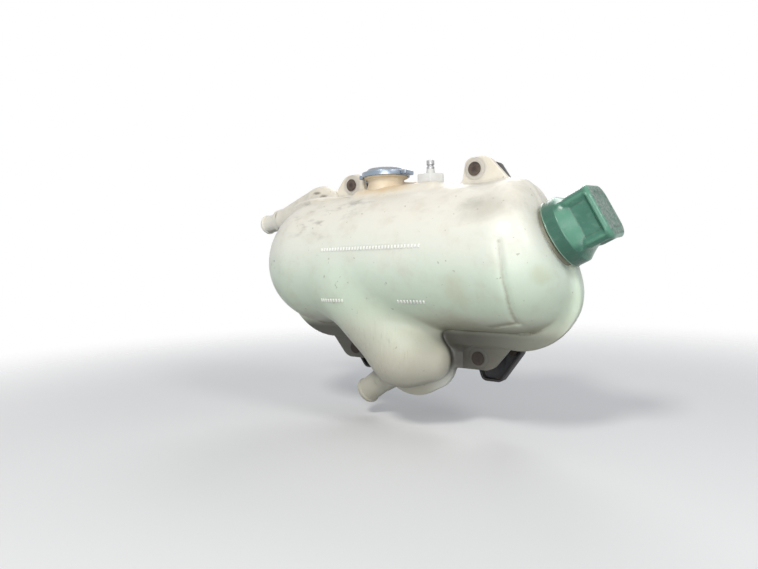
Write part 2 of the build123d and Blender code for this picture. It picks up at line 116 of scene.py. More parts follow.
def mesh_data(name, mesh):
    """Writes a bmesh into new mesh data and frees it."""
    data = bpy.data.meshes.new(name)
    mesh.to_mesh(data)
    mesh.free()
    return data


def node(tree, kind, inputs=None, **settings):
    made = tree.nodes.new("ShaderNode" + kind)
    for key, value in settings.items():
        setattr(made, key, value)
    for key, value in (inputs or {}).items():
        if isinstance(value, bpy.types.NodeSocket):
            tree.links.new(value, made.inputs[key])
        else:
            made.inputs[key].default_value = value
    return made


def math_node(tree, operation, a, b=0, clamp=False):
    return node(tree, "Math", {0: a, 1: b}, operation=operation, use_clamp=clamp).outputs[0]


def times(tree, product, *factors):
    for factor in factors:
        product = math_node(tree, "MULTIPLY", product, factor)
    return product


def vector_node(tree, operation, a, b=(0, 0, 0), output=0):
    return node(tree, "VectorMath", {0: a, 1: b}, operation=operation).outputs[output]


def xyz(tree, vector):
    return node(tree, "SeparateXYZ", {0: vector}).outputs


def mix_colour(tree, factor, a, b):
    return node(tree, "Mix", {"Factor": factor, "A": a, "B": b}, data_type="RGBA").outputs["Result"]


def fade(tree, value, low, high, to_low=0, to_high=1, kind="SMOOTHSTEP"):
    """Goes from one number to another while the value goes from low to high."""
    inputs = {"Value": value, "From Min": low, "From Max": high, "To Min": to_low, "To Max": to_high}
    return node(tree, "MapRange", inputs, interpolation_type=kind).outputs["Result"]


def object_place(tree):
    return node(tree, "TexCoord").outputs["Object"]


def surface_normal(tree):
    return node(tree, "NewGeometry").outputs["Normal"]


def stretched(tree, vector, scale, turn):
    inputs = {"Vector": vector, "Scale": scale, "Rotation": turn}
    return node(tree, "Mapping", inputs).outputs["Vector"]


def cloud(tree, vector, scale, detail=4, roughness=0.55):
    return node(tree, "TexNoise", {
        "Vector": vector, "Scale": scale, "Detail": detail, "Roughness": roughness}).outputs["Fac"]


def new_material(name, roughness=0.5, metallic=0):
    material = bpy.data.materials.new(name)
    material.use_nodes = True
    shader = material.node_tree.nodes["Principled BSDF"]
    shader.inputs["Roughness"].default_value = roughness
    shader.inputs["Metallic"].default_value = metallic
    return material, material.node_tree, shader


print("helpers ready")

# %% [markdown]
# ## Camera, light and floor
# The camera stands where the photograph was taken from: to the right of the tank, near the height of
# its middle, looking left. The light is a soft lamp high in front, a wide low one that fills the
# front, a weaker one at the right, one behind and an even grey sky. Floor and sky look paler to the
# camera and in reflections than they light the tank.

# %% Camera
camera_data = bpy.data.cameras.new("camera")
camera_data.sensor_width = 36
camera_data.lens = 26.98
camera = add_object("camera", camera_data)
bpy.context.scene.camera = camera

yaw, pitch, roll = (math.radians(angle) for angle in (37.48, -2.11, -1.36))
ahead = Vector((-math.sin(yaw) * math.cos(pitch), math.cos(yaw) * math.cos(pitch), math.sin(pitch)))
level = Vector((math.cos(yaw), math.sin(yaw), 0))
upright = level.cross(ahead)
right = level * math.cos(roll) + upright * math.sin(roll)
up = upright * math.cos(roll) - level * math.sin(roll)
camera.matrix_world = Matrix.Translation((0.47015, -0.743, 0.02893)) @ Matrix(
    (right, up, -ahead)).transposed().to_4x4()
print("camera looks along", tuple(round(v, 3) for v in ahead))


# %% Lamps
def lamp(name, place, size, power, colour=(1, 1, 1), target=(0, -0.08, 0.02)):
    data = bpy.data.lights.new(name, "AREA")
    data.shape = "DISK"
    data.size = size
    data.energy = power
    data.color = colour
    made = add_object(name, data)
    made.location = place
    made.rotation_euler = (Vector(target) - Vector(place)).to_track_quat("-Z", "Y").to_euler()


lamp("key lamp", (0.30, -1.55, 1.40), 0.42, 17.5, (1, 0.975, 0.93))
lamp("front lamp", (0.95, -1.62, 0.00), 1.3, 15.5)
lamp("side lamp", (1.43, -0.50, 0.97), 0.45, 7)
lamp("back lamp", (-0.6, 1.3, 1.2), 1, 9)
bpy.context.scene.view_settings.view_transform = "Standard"
print("lamps:", len(bpy.data.lights))


# %% Sky and floor
def seen_colour(tree, lit, seen):
    """One grey lights things, and another shows where the camera, a mirror or glass looks."""
    rays = node(tree, "LightPath").outputs
    looks = math_node(tree, "MAXIMUM", rays["Is Camera Ray"], rays["Is Glossy Ray"])
    looks = math_node(tree, "MAXIMUM", looks, rays["Is Transmission Ray"])
    return mix_colour(tree, looks, (*lit, 1), (*seen, 1))


world = bpy.data.worlds.new("studio")
bpy.context.scene.world = world
world.use_nodes = True
sky = world.node_tree
sky.links.new(seen_colour(sky, (0.28, 0.295, 0.32), (1, 1, 1)), sky.nodes["Background"].inputs["Color"])

FLOOR_GAP, FLOOR_SIZE, FADE_START, FADE_END = 0.02, 6, 0.45, 1.5
floor_mesh = bmesh.new()
floor_z = cad_low.z - FLOOR_GAP
bmesh.ops.create_grid(floor_mesh, x_segments=1, y_segments=1, size=FLOOR_SIZE,
                      matrix=Matrix.Translation((0, 0, floor_z)))
floor = add_object("floor", mesh_data("floor", floor_mesh))
floor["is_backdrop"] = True
pale, tree, shader = new_material("pale floor", roughness=0.9)
shader.inputs["Specular IOR Level"].default_value = 0.1
tree.links.new(seen_colour(tree, (0.38, 0.38, 0.38), (0.84, 0.84, 0.84)), shader.inputs["Base Color"])
away = vector_node(tree, "LENGTH", object_place(tree), output="Value")
clear = node(tree, "BsdfTransparent").outputs["BSDF"]
faded = node(tree, "MixShader", {
    0: fade(tree, away, FADE_START, FADE_END), 1: shader.outputs["BSDF"], 2: clear})
tree.links.new(faded.outputs["Shader"], tree.nodes["Material Output"].inputs["Surface"])
floor.data.materials.append(pale)
print("floor at z =", round(floor_z, 3))

# %% [markdown]
# ## Making pieces
# Every piece is made the same way: a bmesh is shaped by operators, its place already in its vertices,
# and the finished object gets its material, its body and the CAD nodes that it stands for.

# %% Piece helpers
SMOOTH_ANGLE = math.radians(38)


def mark_hollows(mesh):
    """Stores how far each vertex lies below its neighbours, so dirt can gather there and ridges can wear."""
    mesh.normal_update()
    hollow = mesh.verts.layers.float.new("hollow")
    for vert in mesh.verts:
        ways = [edge.other_vert(vert).co - vert.co for edge in vert.link_edges]
        rises = [way.dot(vert.normal) / way.length for way in ways if way.length > 1e-9]
        vert[hollow] = sum(rises) / max(len(rises), 1)


def finish_piece(name, mesh, material, replaces=(), body="tank", angle=SMOOTH_ANGLE, marked=False):
    if not marked:
        mark_hollows(mesh)
    data = mesh_data(name, mesh)
    piece = add_object(name, data)
    data.shade_smooth()
    data.set_sharp_from_angle(angle=angle)
    data.materials.append(material)
    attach(piece, body)
    if replaces:
        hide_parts(*replaces)
    print(f"{name}: {len(data.polygons)} faces")
    return piece


def axes_at(origin, out, across=FRONT):
    """A matrix whose z runs along out and whose x leans towards across."""
    z = Vector(out).normalized()
    x = (Vector(across) - z * z.dot(Vector(across))).normalized()
    return Matrix.Translation(origin) @ Matrix((x, z.cross(x), z)).transposed().to_4x4()


def put_in_place(mesh, before, matrix):
    """Turns the faces of the vertices that are new outwards, and moves them by the matrix."""
    fresh = [v for v in mesh.verts if v not in before]
    bmesh.ops.recalc_face_normals(mesh, faces=list({f for v in fresh for f in v.link_faces}))
    bmesh.ops.transform(mesh, matrix=matrix, verts=fresh)


def turned(mesh, profile, matrix, steps=64):
    """Spins a profile of (radius, height) in millimetres round the matrix's z axis and closes it."""
    before = set(mesh.verts)
    line = [mesh.verts.new((radius * MM, 0, height * MM)) for radius, height in profile]
    edges = [mesh.edges.new(pair) for pair in zip(line, line[1:])]
    bmesh.ops.spin(mesh, geom=line + edges, cent=(0, 0, 0), axis=(0, 0, 1), dvec=(0, 0, 0),
                   angle=2 * math.pi, steps=steps, use_merge=True, use_duplicate=False)
    bmesh.ops.remove_doubles(mesh, verts=[v for v in mesh.verts if v not in before], dist=1e-6)
    put_in_place(mesh, before, matrix)


def rounded(points, radius, steps=4):
    """Rounds the corners of an open profile of (radius, height) points with short arcs."""
    line = [points[0]]
    for before, corner, after in zip(points, points[1:], points[2:]):
        c = Vector(corner)
        a, b = Vector(before) - c, Vector(after) - c
        reach = min(radius, 0.45 * a.length, 0.45 * b.length)
        start, end = c + a.normalized() * reach, c + b.normalized() * reach
        for step in range(steps + 1):
            t = step / steps
            line.append(tuple(start * (1 - t) ** 2 + c * 2 * t * (1 - t) + end * t ** 2))
    return line + [points[-1]]


def soften(mesh, edges, width, segments=3, clamp=False):
    """Rounds edges by a width in millimetres."""
    return bmesh.ops.bevel(mesh, geom=edges, offset=width * MM, segments=segments, profile=0.5,
                           clamp_overlap=clamp, affect="EDGES", material=-1)["faces"]


def edges_of(verts):
    return list({edge for vert in verts for edge in vert.link_edges})


def cut_off(mesh, place, out, near=0):
    """Cuts away what lies beyond a plane and closes the cut."""
    cut = bmesh.ops.bisect_plane(mesh, geom=[*mesh.verts, *mesh.edges, *mesh.faces], dist=near,
                                 plane_co=place, plane_no=out, clear_outer=True)["geom_cut"]
    bmesh.ops.holes_fill(mesh, edges=[g for g in cut if isinstance(g, bmesh.types.BMEdge)], sides=0)


print("piece helpers ready")

# %% [markdown]
# ## Finishes
# Effects that several finishes share are node groups, and each gives a mask: a soft spot near one
# place, dust on what looks up, and a soft line, which carries the tank's painted crease shade and
# ridge highlight. A finish is a base colour and coats over it, each with a mask, a strength and a
# colour. All patterns read Object coordinates, so they stay on the pieces.

# %% Shared effects
def new_group(name, vectors, numbers):
    group = bpy.data.node_groups.new(name, "ShaderNodeTree")
    for label in vectors:
        group.interface.new_socket(label, in_out="INPUT", socket_type="NodeSocketVector")
    for label, value in numbers.items():
        socket = group.interface.new_socket(label, in_out="INPUT", socket_type="NodeSocketFloat")
        socket.default_value = value
    group.interface.new_socket("Mask", in_out="OUTPUT", socket_type="NodeSocketFloat")
    source, target = group.nodes.new("NodeGroupInput"), group.nodes.new("NodeGroupOutput")
    return group, source.outputs, target.inputs["Mask"]


# A soft spot: 1 at its centre, 0 beyond its size, broken up by noise
spot, given, mask = new_group("soft spot", ("Place", "Centre", "Size"), {"Raggedness": 0.3, "Grain": 60})
ratio = vector_node(spot, "SUBTRACT", given["Place"], given["Centre"])
ratio = vector_node(spot, "DIVIDE", ratio, given["Size"])
noise = math_node(spot, "SUBTRACT", cloud(spot, given["Place"], given["Grain"], 4, 0.6), 0.5)
edge = math_node(spot, "ADD", vector_node(spot, "LENGTH", ratio, output="Value"),
                 times(spot, noise, given["Raggedness"], 2))
spot.links.new(fade(spot, edge, 1, 0.15), mask)

# Dust that lies thicker on faces that look up, in ragged patches
dust, given, mask = new_group("settled dust", ("Place",), {"Amount": 0.5, "Grain": 45})
lie = fade(dust, xyz(dust, surface_normal(dust))["Z"], -0.2, 0.95, 0.12, 1)
patch = fade(dust, cloud(dust, given["Place"], given["Grain"], 6, 0.65), 0.34, 0.66)
dust.links.new(times(dust, lie, patch, given["Amount"]), mask)

# A soft line between two places, seen from the front
line, given, mask = new_group("soft line", ("Place", "Start", "End"), {"Width": 0.002})
way, reach = (vector_node(line, "SUBTRACT", given[far], given["Start"]) for far in ("End", "Place"))
way, reach = (vector_node(line, "MULTIPLY", whole, (1, 0, 1)) for whole in (way, reach))
share = math_node(line, "DIVIDE", vector_node(line, "DOT_PRODUCT", reach, way, "Value"),
                  vector_node(line, "DOT_PRODUCT", way, way, "Value"), clamp=True)
near = node(line, "VectorMath", {0: way, "Scale": share}, operation="SCALE").outputs[0]
gap = vector_node(line, "LENGTH", vector_node(line, "SUBTRACT", reach, near), output="Value")
gap = math_node(line, "ADD", gap, times(line, cloud(line, given["Place"], 160), given["Width"]))
line.links.new(fade(line, gap, times(line, given["Width"], 1.4), 0), mask)
print("shared effects:", spot.name + ",", dust.name, "and", line.name)


# %% Coats
def mask_of(tree, group, **inputs):
    return node(tree, "Group", inputs, node_tree=group).outputs["Mask"]


def spot_at(tree, place, x, forward, z, size, raggedness, grain=60):
    return mask_of(tree, spot, Place=place, Centre=at(x, forward, z), Size=[s * MM for s in size],
                   Raggedness=raggedness, Grain=grain)


def line_along(tree, place, runs, width, shift=0):
    """A soft line along several straight runs."""
    whole = 0
    for start_x, start_z, end_x, end_z in runs:
        mark = mask_of(tree, line, Place=place, Start=at(start_x + shift, 0, start_z),
                       End=at(end_x + shift, 0, end_z), Width=width)
        whole = math_node(tree, "MAXIMUM", whole, mark)
    return whole


def hollows(tree, low, high):
    """Dirt in the corners, or wear on the ridges: the stored hollow, sharpened."""
    stored = node(tree, "Attribute", attribute_name="hollow").outputs["Fac"]
    return fade(tree, stored, low, high)


def coated(tree, colour, coats):
    """Lays coats over a colour, in order. Each is a mask, a strength and a colour."""
    for mask, strength, stain in coats:
        colour = mix_colour(tree, times(tree, mask, strength), colour, (*stain, 1))
    return colour


def colour_ramp(tree, value, stops):
    ramp = node(tree, "ValToRGB", {0: value})
    elements = ramp.color_ramp.elements
    elements[0].position, elements[0].color = stops[0][0], (*stops[0][1], 1)
    elements[1].position, elements[1].color = stops[-1][0], (*stops[-1][1], 1)
    for position, colour in stops[1:-1]:
        elements.new(position).color = (*colour, 1)
    return ramp.outputs["Color"]


def add_bump(tree, shader, height, strength, distance):
    made = node(tree, "Bump", {"Height": height, "Strength": strength, "Distance": distance})
    tree.links.new(made.outputs["Normal"], shader.inputs["Normal"])


print("coats ready")

# %% [markdown]
# ## Tank plastic
# The tank is moulded in a milky plastic that lets some light in. It is cream at the top, where dust
# and sun have browned it, pale green lower down, where coolant stands behind the wall, and greyer on
# the sump. Subsurface scattering gives the waxy depth, and the colours follow height with noise.

# %% Colours and stains
# A stop is a share of the height and a colour. A stain is x, forward, z, size, strength and colour.
TANK_STOPS = (
    (0, (0.50, 0.485, 0.405)), (0.20, (0.57, 0.555, 0.46)), (0.34, (0.60, 0.645, 0.525)),
    (0.44, (0.62, 0.725, 0.585)), (0.55, (0.65, 0.745, 0.63)), (0.68, (0.75, 0.765, 0.685)),
    (0.82, (0.78, 0.755, 0.67)), (1, (0.74, 0.68, 0.57)))
GRIME_COLOUR, NICK_COLOUR, ROW_SHADE = (0.20, 0.185, 0.165), (0.14, 0.12, 0.09), (0.40, 0.43, 0.35)
GRIME = (
    (-110, 80, 68, (85, 60, 38), 0.85), (-60, 60, 86, (70, 50, 24), 0.65), (60, 90, 78, (70, 50, 22), 0.4),
    (150, 70, 60, (50, 60, 40), 0.4), (-172, 20, 104, (70, 50, 26), 0.85))
STAINS = (
    (-165, 10, 100, (60, 45, 22), 0.40, (0.36, 0.32, 0.25)),
    (-30, 20, 114, (85, 50, 18), 0.80, (0.66, 0.50, 0.30)),
    (-41, 10, 122, (46, 46, 26), 0.50, (0.62, 0.44, 0.24)),
    (128, 95, -28, (26, 50, 34), 0.28, (0.50, 0.44, 0.27)),
    (112, 60, -70, (40, 60, 20), 0.30, (0.36, 0.31, 0.20)),
    # Painted shade: a dark spot for a small dimple on the hump, which is not modelled.
    (-181, 25, 84, (14, 30, 12), 0.55, (0.30, 0.27, 0.22)),
    (-158, 15, 112, (34, 34, 13), 0.45, (0.36, 0.34, 0.30)),
    (140, 30, 98, (46, 40, 22), 0.45, (0.44, 0.41, 0.35)),
    (165, 75, 66, (60, 60, 26), 0.60, (0.48, 0.46, 0.39)),
    (225, 70, -13, (13, 40, 16), 0.35, (0.50, 0.50, 0.30)))
NICKS = ((-47, 62, -52, (7, 12, 3)), (-159, 27, 118, (9, 12, 4)), (-147, 22, 112, (7, 12, 4)))

# Straight runs of x and z, from and to: the crease on the right and the ridge below the horn
CREASE = ((187, 26, 190, 2), (190, 2, 192, -36), (192, -36, 189, -71), (189, -71, 152, -79))
RIDGE = ((-96, 111, -132, 110), (-132, 110, -161, 107.5), (-161, 107.5, -190, 105), (-190, 105, -216, 99))

# Rows of level marks: z, first x, last x, how many bars, how tall
LEVEL_ROWS = ((25, -82, 81, 33, 4.7), (-46, -88, -49, 9, 4.6), (-46, 38, 78, 9, 4.6))
print("stains:", len(GRIME) + len(STAINS) + len(NICKS))


# %% Tank plastic
def stain_coats(tree, place, mottle):
    """Browned patches, grime in streaks, stains, scratches on the sump, specks and nicks."""
    streaks = cloud(tree, stretched(tree, place, (26, 26, 70), (0, 0.5, 0)), 1, 7)
    streaks = fade(tree, streaks, 0.50, 0.74)
    scratch = cloud(tree, stretched(tree, place, (420, 420, 26), (0, 0.22, 0)), 1, 5, 0.6)
    sump = spot_at(tree, place, -25, 50, -110, (95, 90, 70), 0.25, 30)
    specks = cloud(tree, place, 150, 2, 0.5)
    coats = [(fade(tree, mottle, 0.45, 0.75), 0.28, (0.52, 0.47, 0.36))]
    coats += [(times(tree, spot_at(tree, place, *where, 0.5, 40), streaks), strength, GRIME_COLOUR)
              for *where, strength in GRIME]
    coats += [(spot_at(tree, place, *where, 0.45, 55), strength, stain) for *where, strength, stain in STAINS]
    coats += [(sump, 0.25, (0.46, 0.44, 0.37)),
              (times(tree, fade(tree, scratch, 0.52, 0.70), sump), 0.55, (0.68, 0.67, 0.60)),
              (times(tree, fade(tree, scratch, 0.42, 0.30), sump), 0.45, (0.25, 0.23, 0.18)),
              (fade(tree, specks, 0.70, 0.76), 0.5, (0.28, 0.25, 0.19))]
    return coats + [(spot_at(tree, place, *nick, 0.4, 200), 0.8, NICK_COLOUR) for nick in NICKS]


def shade_coats(tree, place, mottle):
    """Painted light and shade that make the moulding's relief read: shade along the mark rows, a highlight
    on the ridge, shade and dirt in the crease and corners, shade on what faces down and below the
    barrel, and a lit patch on the lower rim.
    """
    x, depth, height = xyz(tree, place)
    coats = []
    # Painted shade: a darker band along each row of level marks stands for the shadows between the bars.
    for z, start, end, _, _ in LEVEL_ROWS:
        row = spot_at(tree, place, (start + end) / 2, 80, z, ((end - start) * 0.62, 90, 6.5), 0.05)
        coats.append((row, 0.38, ROW_SHADE))
    # Painted highlight: a pale line along the ridge below the horn.
    lip = times(tree, line_along(tree, place, RIDGE, 0.0024), fade(tree, depth, -0.055, -0.060))
    # Painted shade and dirt: the crease is darker, more so towards its bottom.
    crease = times(tree, line_along(tree, place, CREASE, 0.0038, -1), fade(tree, depth, -0.075, -0.09),
                   fade(tree, height, 0.055, -0.040, 0.45, 1))
    # Painted shade and dirt in the moulding's corners.
    corners = times(tree, hollows(tree, 0.05, 0.26), fade(tree, mottle, 0.3, 0.6))
    # Painted shade: faces that look down are darker.
    down = fade(tree, xyz(tree, surface_normal(tree))["Z"], -0.70, -0.97)
    # Painted shadow of the barrel's belly on the web and lower ears, weaker towards the right.
    barrel_shadow = times(tree, fade(tree, height, -0.055, -0.073), fade(tree, height, -0.150, -0.128),
                      fade(tree, depth, -0.074, -0.062), fade(tree, x, 0.225, 0.090, 0.50, 1))
    return coats + [
        (lip, 0.8, (0.84, 0.83, 0.78)),
        (crease, 0.80, (0.33, 0.29, 0.20)),
        (corners, 0.75, (0.25, 0.21, 0.14)),
        (down, 0.70, (0.20, 0.185, 0.135)),
        (barrel_shadow, 0.94, (0.072, 0.068, 0.054)),
        # Painted shade on the slope left of the lower right bolt
        (spot_at(tree, place, 77, 0, -126, (24, 16, 32), 0.1, 30), 0.75, (0.045, 0.042, 0.033)),
        # Painted light: a pale patch on the lower rim below the sump
        (spot_at(tree, place, 62, 0, -168, (46, 40, 34), 0.1, 30), 0.85, (0.72, 0.73, 0.67))]


def milky_plastic(name):
    material, tree, shader = new_material(name)
    place = object_place(tree)
    drift = math_node(tree, "SUBTRACT", cloud(tree, place, 9, 3), 0.5)
    level = math_node(tree, "ADD", xyz(tree, place)["Z"], times(tree, drift, 0.05))
    colour = colour_ramp(tree, fade(tree, level, -0.17, 0.16, kind="LINEAR"), TANK_STOPS)
    mottle = cloud(tree, place, 34, 6, 0.6)
    colour = coated(tree, colour, stain_coats(tree, place, mottle) + shade_coats(tree, place, mottle))
    tree.links.new(colour, shader.inputs["Base Color"])
    tree.links.new(fade(tree, mottle, 0.3, 0.7, 0.33, 0.55), shader.inputs["Roughness"])
    shader.inputs["Subsurface Weight"].default_value = 0.35
    shader.inputs["Subsurface Radius"].default_value = (1, 0.95, 0.7)
    shader.inputs["Subsurface Scale"].default_value = 0.009
    peel = math_node(tree, "ADD", cloud(tree, place, 240, 3), times(tree, cloud(tree, place, 22, 2), 3))
    add_bump(tree, shader, peel, 0.25, 0.0006)
    return material


tank_plastic = milky_plastic("milky tank plastic")
print("material:", tank_plastic.name)


# %% Plain finishes
def plain_finish(name, colour, dirt, roughness, metallic=0, amount=0.5, grain=60, bump=0.2, wear=None,
                 corners=0.6, foot=None, vary=0.7):
    """A colour that varies with noise, carries dust and corner dirt, wears on its ridges, and can be painted
    darker low down as shade.
    """
    material, tree, shader = new_material(name, roughness, metallic)
    place = object_place(tree)
    mottle = cloud(tree, place, grain, 5, 0.6)
    base = mix_colour(tree, mottle, (*colour, 1), (*(c * vary for c in colour), 1))
    if wear:
        worn = times(tree, hollows(tree, -0.03, -0.18), fade(tree, mottle, 0.35, 0.6))
        base = coated(tree, base, [(worn, 0.7, wear)])
    corner = times(tree, hollows(tree, 0.04, 0.25), corners, fade(tree, mottle, 0.25, 0.55))
    mask = math_node(tree, "MAXIMUM", mask_of(tree, dust, Place=place, Amount=amount, Grain=grain), corner)
    base = mix_colour(tree, mask, base, (*dirt, 1))
    # Painted shade: the foot colour darkens what lies low, where the barrel's belly shades it.
    if foot:
        base = coated(tree, base, [(fade(tree, xyz(tree, place)["Z"], 0, -0.08), 0.75, foot)])
    tree.links.new(base, shader.inputs["Base Color"])
    rough = fade(tree, mottle, 0.3, 0.7, roughness * 0.85, min(1, roughness * 1.15))
    tree.links.new(rough, shader.inputs["Roughness"])
    if metallic:
        bare = times(tree, math_node(tree, "SUBTRACT", 1, mask), metallic)
        tree.links.new(bare, shader.inputs["Metallic"])
    add_bump(tree, shader, cloud(tree, place, grain * 6), bump, 0.0005)
    return material


# Painted reflection: the blue in the cap steel's colour stands for the sky that it reflects.
cap_steel = plain_finish("plated cap steel", (0.33, 0.40, 0.49), (0.46, 0.36, 0.24), 0.28, 0.95, amount=0.4,
                         grain=70, corners=0.9)
# Painted highlight: the raised level marks are a paler copy of the tank's plastic, so they read bright.
mark_plastic = plain_finish("highlit mark plastic", (0.92, 0.92, 0.88), (0.55, 0.52, 0.42), 0.4, amount=0,
                            corners=0, vary=0.94)
white_plastic = plain_finish("white sensor plastic", (0.78, 0.78, 0.75), (0.60, 0.55, 0.44), 0.5, amount=0.3,
                             corners=0.8)
terminal_steel = plain_finish("terminal steel", (0.50, 0.50, 0.51), (0.20, 0.17, 0.14), 0.35, 0.9, amount=0.4,
                              grain=120, corners=1)
neck_plastic = plain_finish("stained neck plastic", (0.80, 0.68, 0.50), (0.55, 0.40, 0.23), 0.55, amount=0.45,
                            corners=1)
# Painted shade and dirt: the filler neck is the tank's plastic made dark olive, as it lies under the cap.
collar_dirt_and_shade = plain_finish("olive collar plastic", (0.24, 0.235, 0.17), (0.12, 0.11, 0.075), 0.5,
                              amount=0.3, corners=1)
seal_rubber = plain_finish("seal rubber", (0.03, 0.03, 0.03), (0.12, 0.11, 0.10), 0.7, amount=0.3)
sleeve_steel = plain_finish("sleeve steel", (0.40, 0.37, 0.33), (0.25, 0.17, 0.11), 0.5, 0.7, amount=0.6)
# Its foot colour is painted shade on the lower bolts under the barrel.
rusty_steel = plain_finish("rusty bolt steel", (0.050, 0.035, 0.029), (0.098, 0.062, 0.043), 0.75, 0.1,
                           amount=0.5, grain=140, bump=0.8, wear=(0.14, 0.11, 0.09),
                           foot=(0.022, 0.016, 0.012))
dark_paint = plain_finish("dark bracket paint", (0.020, 0.023, 0.030), (0.16, 0.14, 0.12), 0.50, amount=0.5,
                          bump=0.35, wear=(0.17, 0.12, 0.085))
print("plain finishes ready")


# %% Cap plastic
def cap_finish(name):
    """Green plastic with a scuffed grey top, dark dirt in the corners of the panels and worn ribs,
    painted highlights on the sloping facets, the top's rim and the skirt's lip, and a skirt that darkens
    towards its foot.
    """
    material, tree, shader = new_material(name)
    place = object_place(tree)
    outward = vector_node(tree, "DOT_PRODUCT", surface_normal(tree), FILLER_OUT, "Value")
    height = math_node(tree, "SUBTRACT", vector_node(tree, "DOT_PRODUCT", place, FILLER_OUT, "Value"),
                       FILLER_BASE.dot(FILLER_OUT))
    mottle = cloud(tree, place, 55, 6, 0.6)
    scuffs = cloud(tree, stretched(tree, place, (90, 260, 160), (0.4, 0.3, 0)), 1, 7, 0.7)
    # Painted highlight: faces that slope between side and top, the facets and the top's rounded rim, are
    # paler.
    slope = times(tree, fade(tree, outward, 0.28, 0.55), fade(tree, outward, 0.95, 0.80))
    top = fade(tree, outward, 0.80, 0.97)
    gravel = times(tree, top, fade(tree, cloud(tree, place, 210, 8, 0.75), 0.36, 0.62))
    chips = times(tree, top, fade(tree, cloud(tree, place, 330, 3, 0.6), 0.60, 0.66))
    corners = times(tree, hollows(tree, 0.015, 0.09), fade(tree, mottle, 0.38, 0.58))
    green = mix_colour(tree, mottle, (0.034, 0.135, 0.092, 1), (0.060, 0.190, 0.135, 1))
    colour = coated(tree, green, (
        (fade(tree, scuffs, 0.5, 0.66), 0.22, (0.20, 0.33, 0.25)),
        # Dirt and painted shade: darker towards the skirt's foot.
        (fade(tree, height, 0.034, 0.016), 0.45, (0.020, 0.072, 0.048)),
        (hollows(tree, -0.02, -0.10), 0.35, (0.14, 0.34, 0.23)),
        # Painted highlight on the sloping faces
        (slope, 0.55, (0.125, 0.33, 0.225)),
        # Painted highlight: a pale band on the skirt's lip.
        (fade(tree, height, 0.0080, 0.0066), 0.6, (0.30, 0.42, 0.32)),
        (gravel, 0.85, (0.30, 0.33, 0.305)),
        (chips, 0.7, (0.035, 0.07, 0.055)),
        (corners, 0.4, (0.035, 0.042, 0.032))))
    tree.links.new(colour, shader.inputs["Base Color"])
    rough = fade(tree, mottle, 0.3, 0.7, 0.24, 0.38)
    rough = math_node(tree, "ADD", rough, times(tree, top, 0.3), clamp=True)
    tree.links.new(rough, shader.inputs["Roughness"])
    relief = math_node(tree, "ADD", times(tree, gravel, 2), cloud(tree, place, 300, 3))
    add_bump(tree, shader, relief, 0.22, 0.0005)
    return material


green_plastic = cap_finish("green cap plastic")
print("material:", green_plastic.name)

# %% [markdown]
# ## The moulded tank
# The tank is a bag of simple forms that melt into each other: a barrel with a dome on its left, a blunt
# right end cut by the slanted filler face, a leaning sump with a toe, a horn for the upper hose, a pad
# on top and a flat ledge round the joint. Sculpting the blends by hand would be slow. Instead the
# simple forms are made with operators and merged by a voxel remesh, and then every vertex slides to the
# surface where the blended distance to the forms is zero. The blend's width is one number per joint.

# %% The forms' sizes
BARREL_Z, BARREL_R, LEFT_X, RIGHT_X, END_R, BELLY_FLAT = 6, 102, -153, 169, 75, 1.07

# Rods: where each starts and ends, and its radius at both
SUMP = ((4.5, 24, -119.5), (-68, 40, -30), 52, 59)
TOE = ((4.5, 24, -119.5), (40.5, 18, -131.5), 52, 32.5)
HORN = ((-168, 0, 96), (-252, 0, 84), 36, 20.5)
HORN_TIP = ((-252, 0, 84), (-272, 0, 81.6), 20.5, 20.5)
SUMP_RIM = ((4, 0, -125), (-36, 0, -76), 65, 65)
TOE_RIM = ((4, 0, -125), (33, 0, -138), 65, 40)
HORN_WAY, HORN_CUT, HORN_END, INLET_REACH = (-0.993, 0, -0.118), 14, (-264, 0, 82.6), 17

# The pad, the web between the lower ears, the outlet and the rim in the joint plane
PAD_CENTRE, PAD_HALF, PAD_CORNER = (-9, 3, 95), (75, 30, 20), 12
WEB_HALF, WEB_Z, WEB_HIGH, WEB_FRONT, WEB_DROP, WEB_FALL = 95, -115, 28.5, 5.8, 7.8, (66, 94)
OUTLET_FROM, OUTLET_TILT, OUTLET_WIDE, OUTLET_NARROW = (8, -14, -125), math.radians(35), 26, 20.5
STRIP_LEFT, STRIP_Z, STRIP_R = -150, -1, 111
RIM_X, RIM_Z, RIM_R = 167, -29, 84.5
LEDGE, FORM_BACK, BACK, PAN_INSET = 6, 29, 36, 11

# How wide each blend is, and how deep and wide the crease and the ridge are
BLEND = {"filler": 17, "sump": 22, "toe": 12, "horn": 12, "pad": 12, "outlet": 14, "back": 6,
         "rim": 22, "rim and sump": 14, "ledge": 3, "pan back": 10, "pan": 5}
FOLD_DEPTH, FOLD_WIDTH, NOTCH_DEPTH, NOTCH_WIDTH, RIDGE_HIGH, RIDGE_WIDTH = 2, 3.8, 1, 2.2, 1.3, 2.6
FOLD_START, FOLD_FADE = 30, 20


def outlet_at(reach):
    """A place along the outlet, in the tank's view."""
    x, forward, z = OUTLET_FROM
    return x - math.cos(OUTLET_TILT) * reach, forward, z - math.sin(OUTLET_TILT) * reach


print("barrel:", 2 * BARREL_R, "mm across,", RIGHT_X - LEFT_X + BARREL_R + END_R, "mm long")


# %% Distances to the forms
def blend_union(a, b, width):
    share = np.clip(0.5 + 0.5 * (b - a) / width, 0, 1)
    return b + (a - b) * share - width * share * (1 - share)


def blend_cut(a, b, width):
    return -blend_union(-a, -b, width)


def ease_step(value, low, high):
    """Rises smoothly from 0 at low to 1 at high, or falls where high is the smaller."""
    t = np.clip((value - low) / (high - low), 0, 1)
    return t * t * (3 - 2 * t)


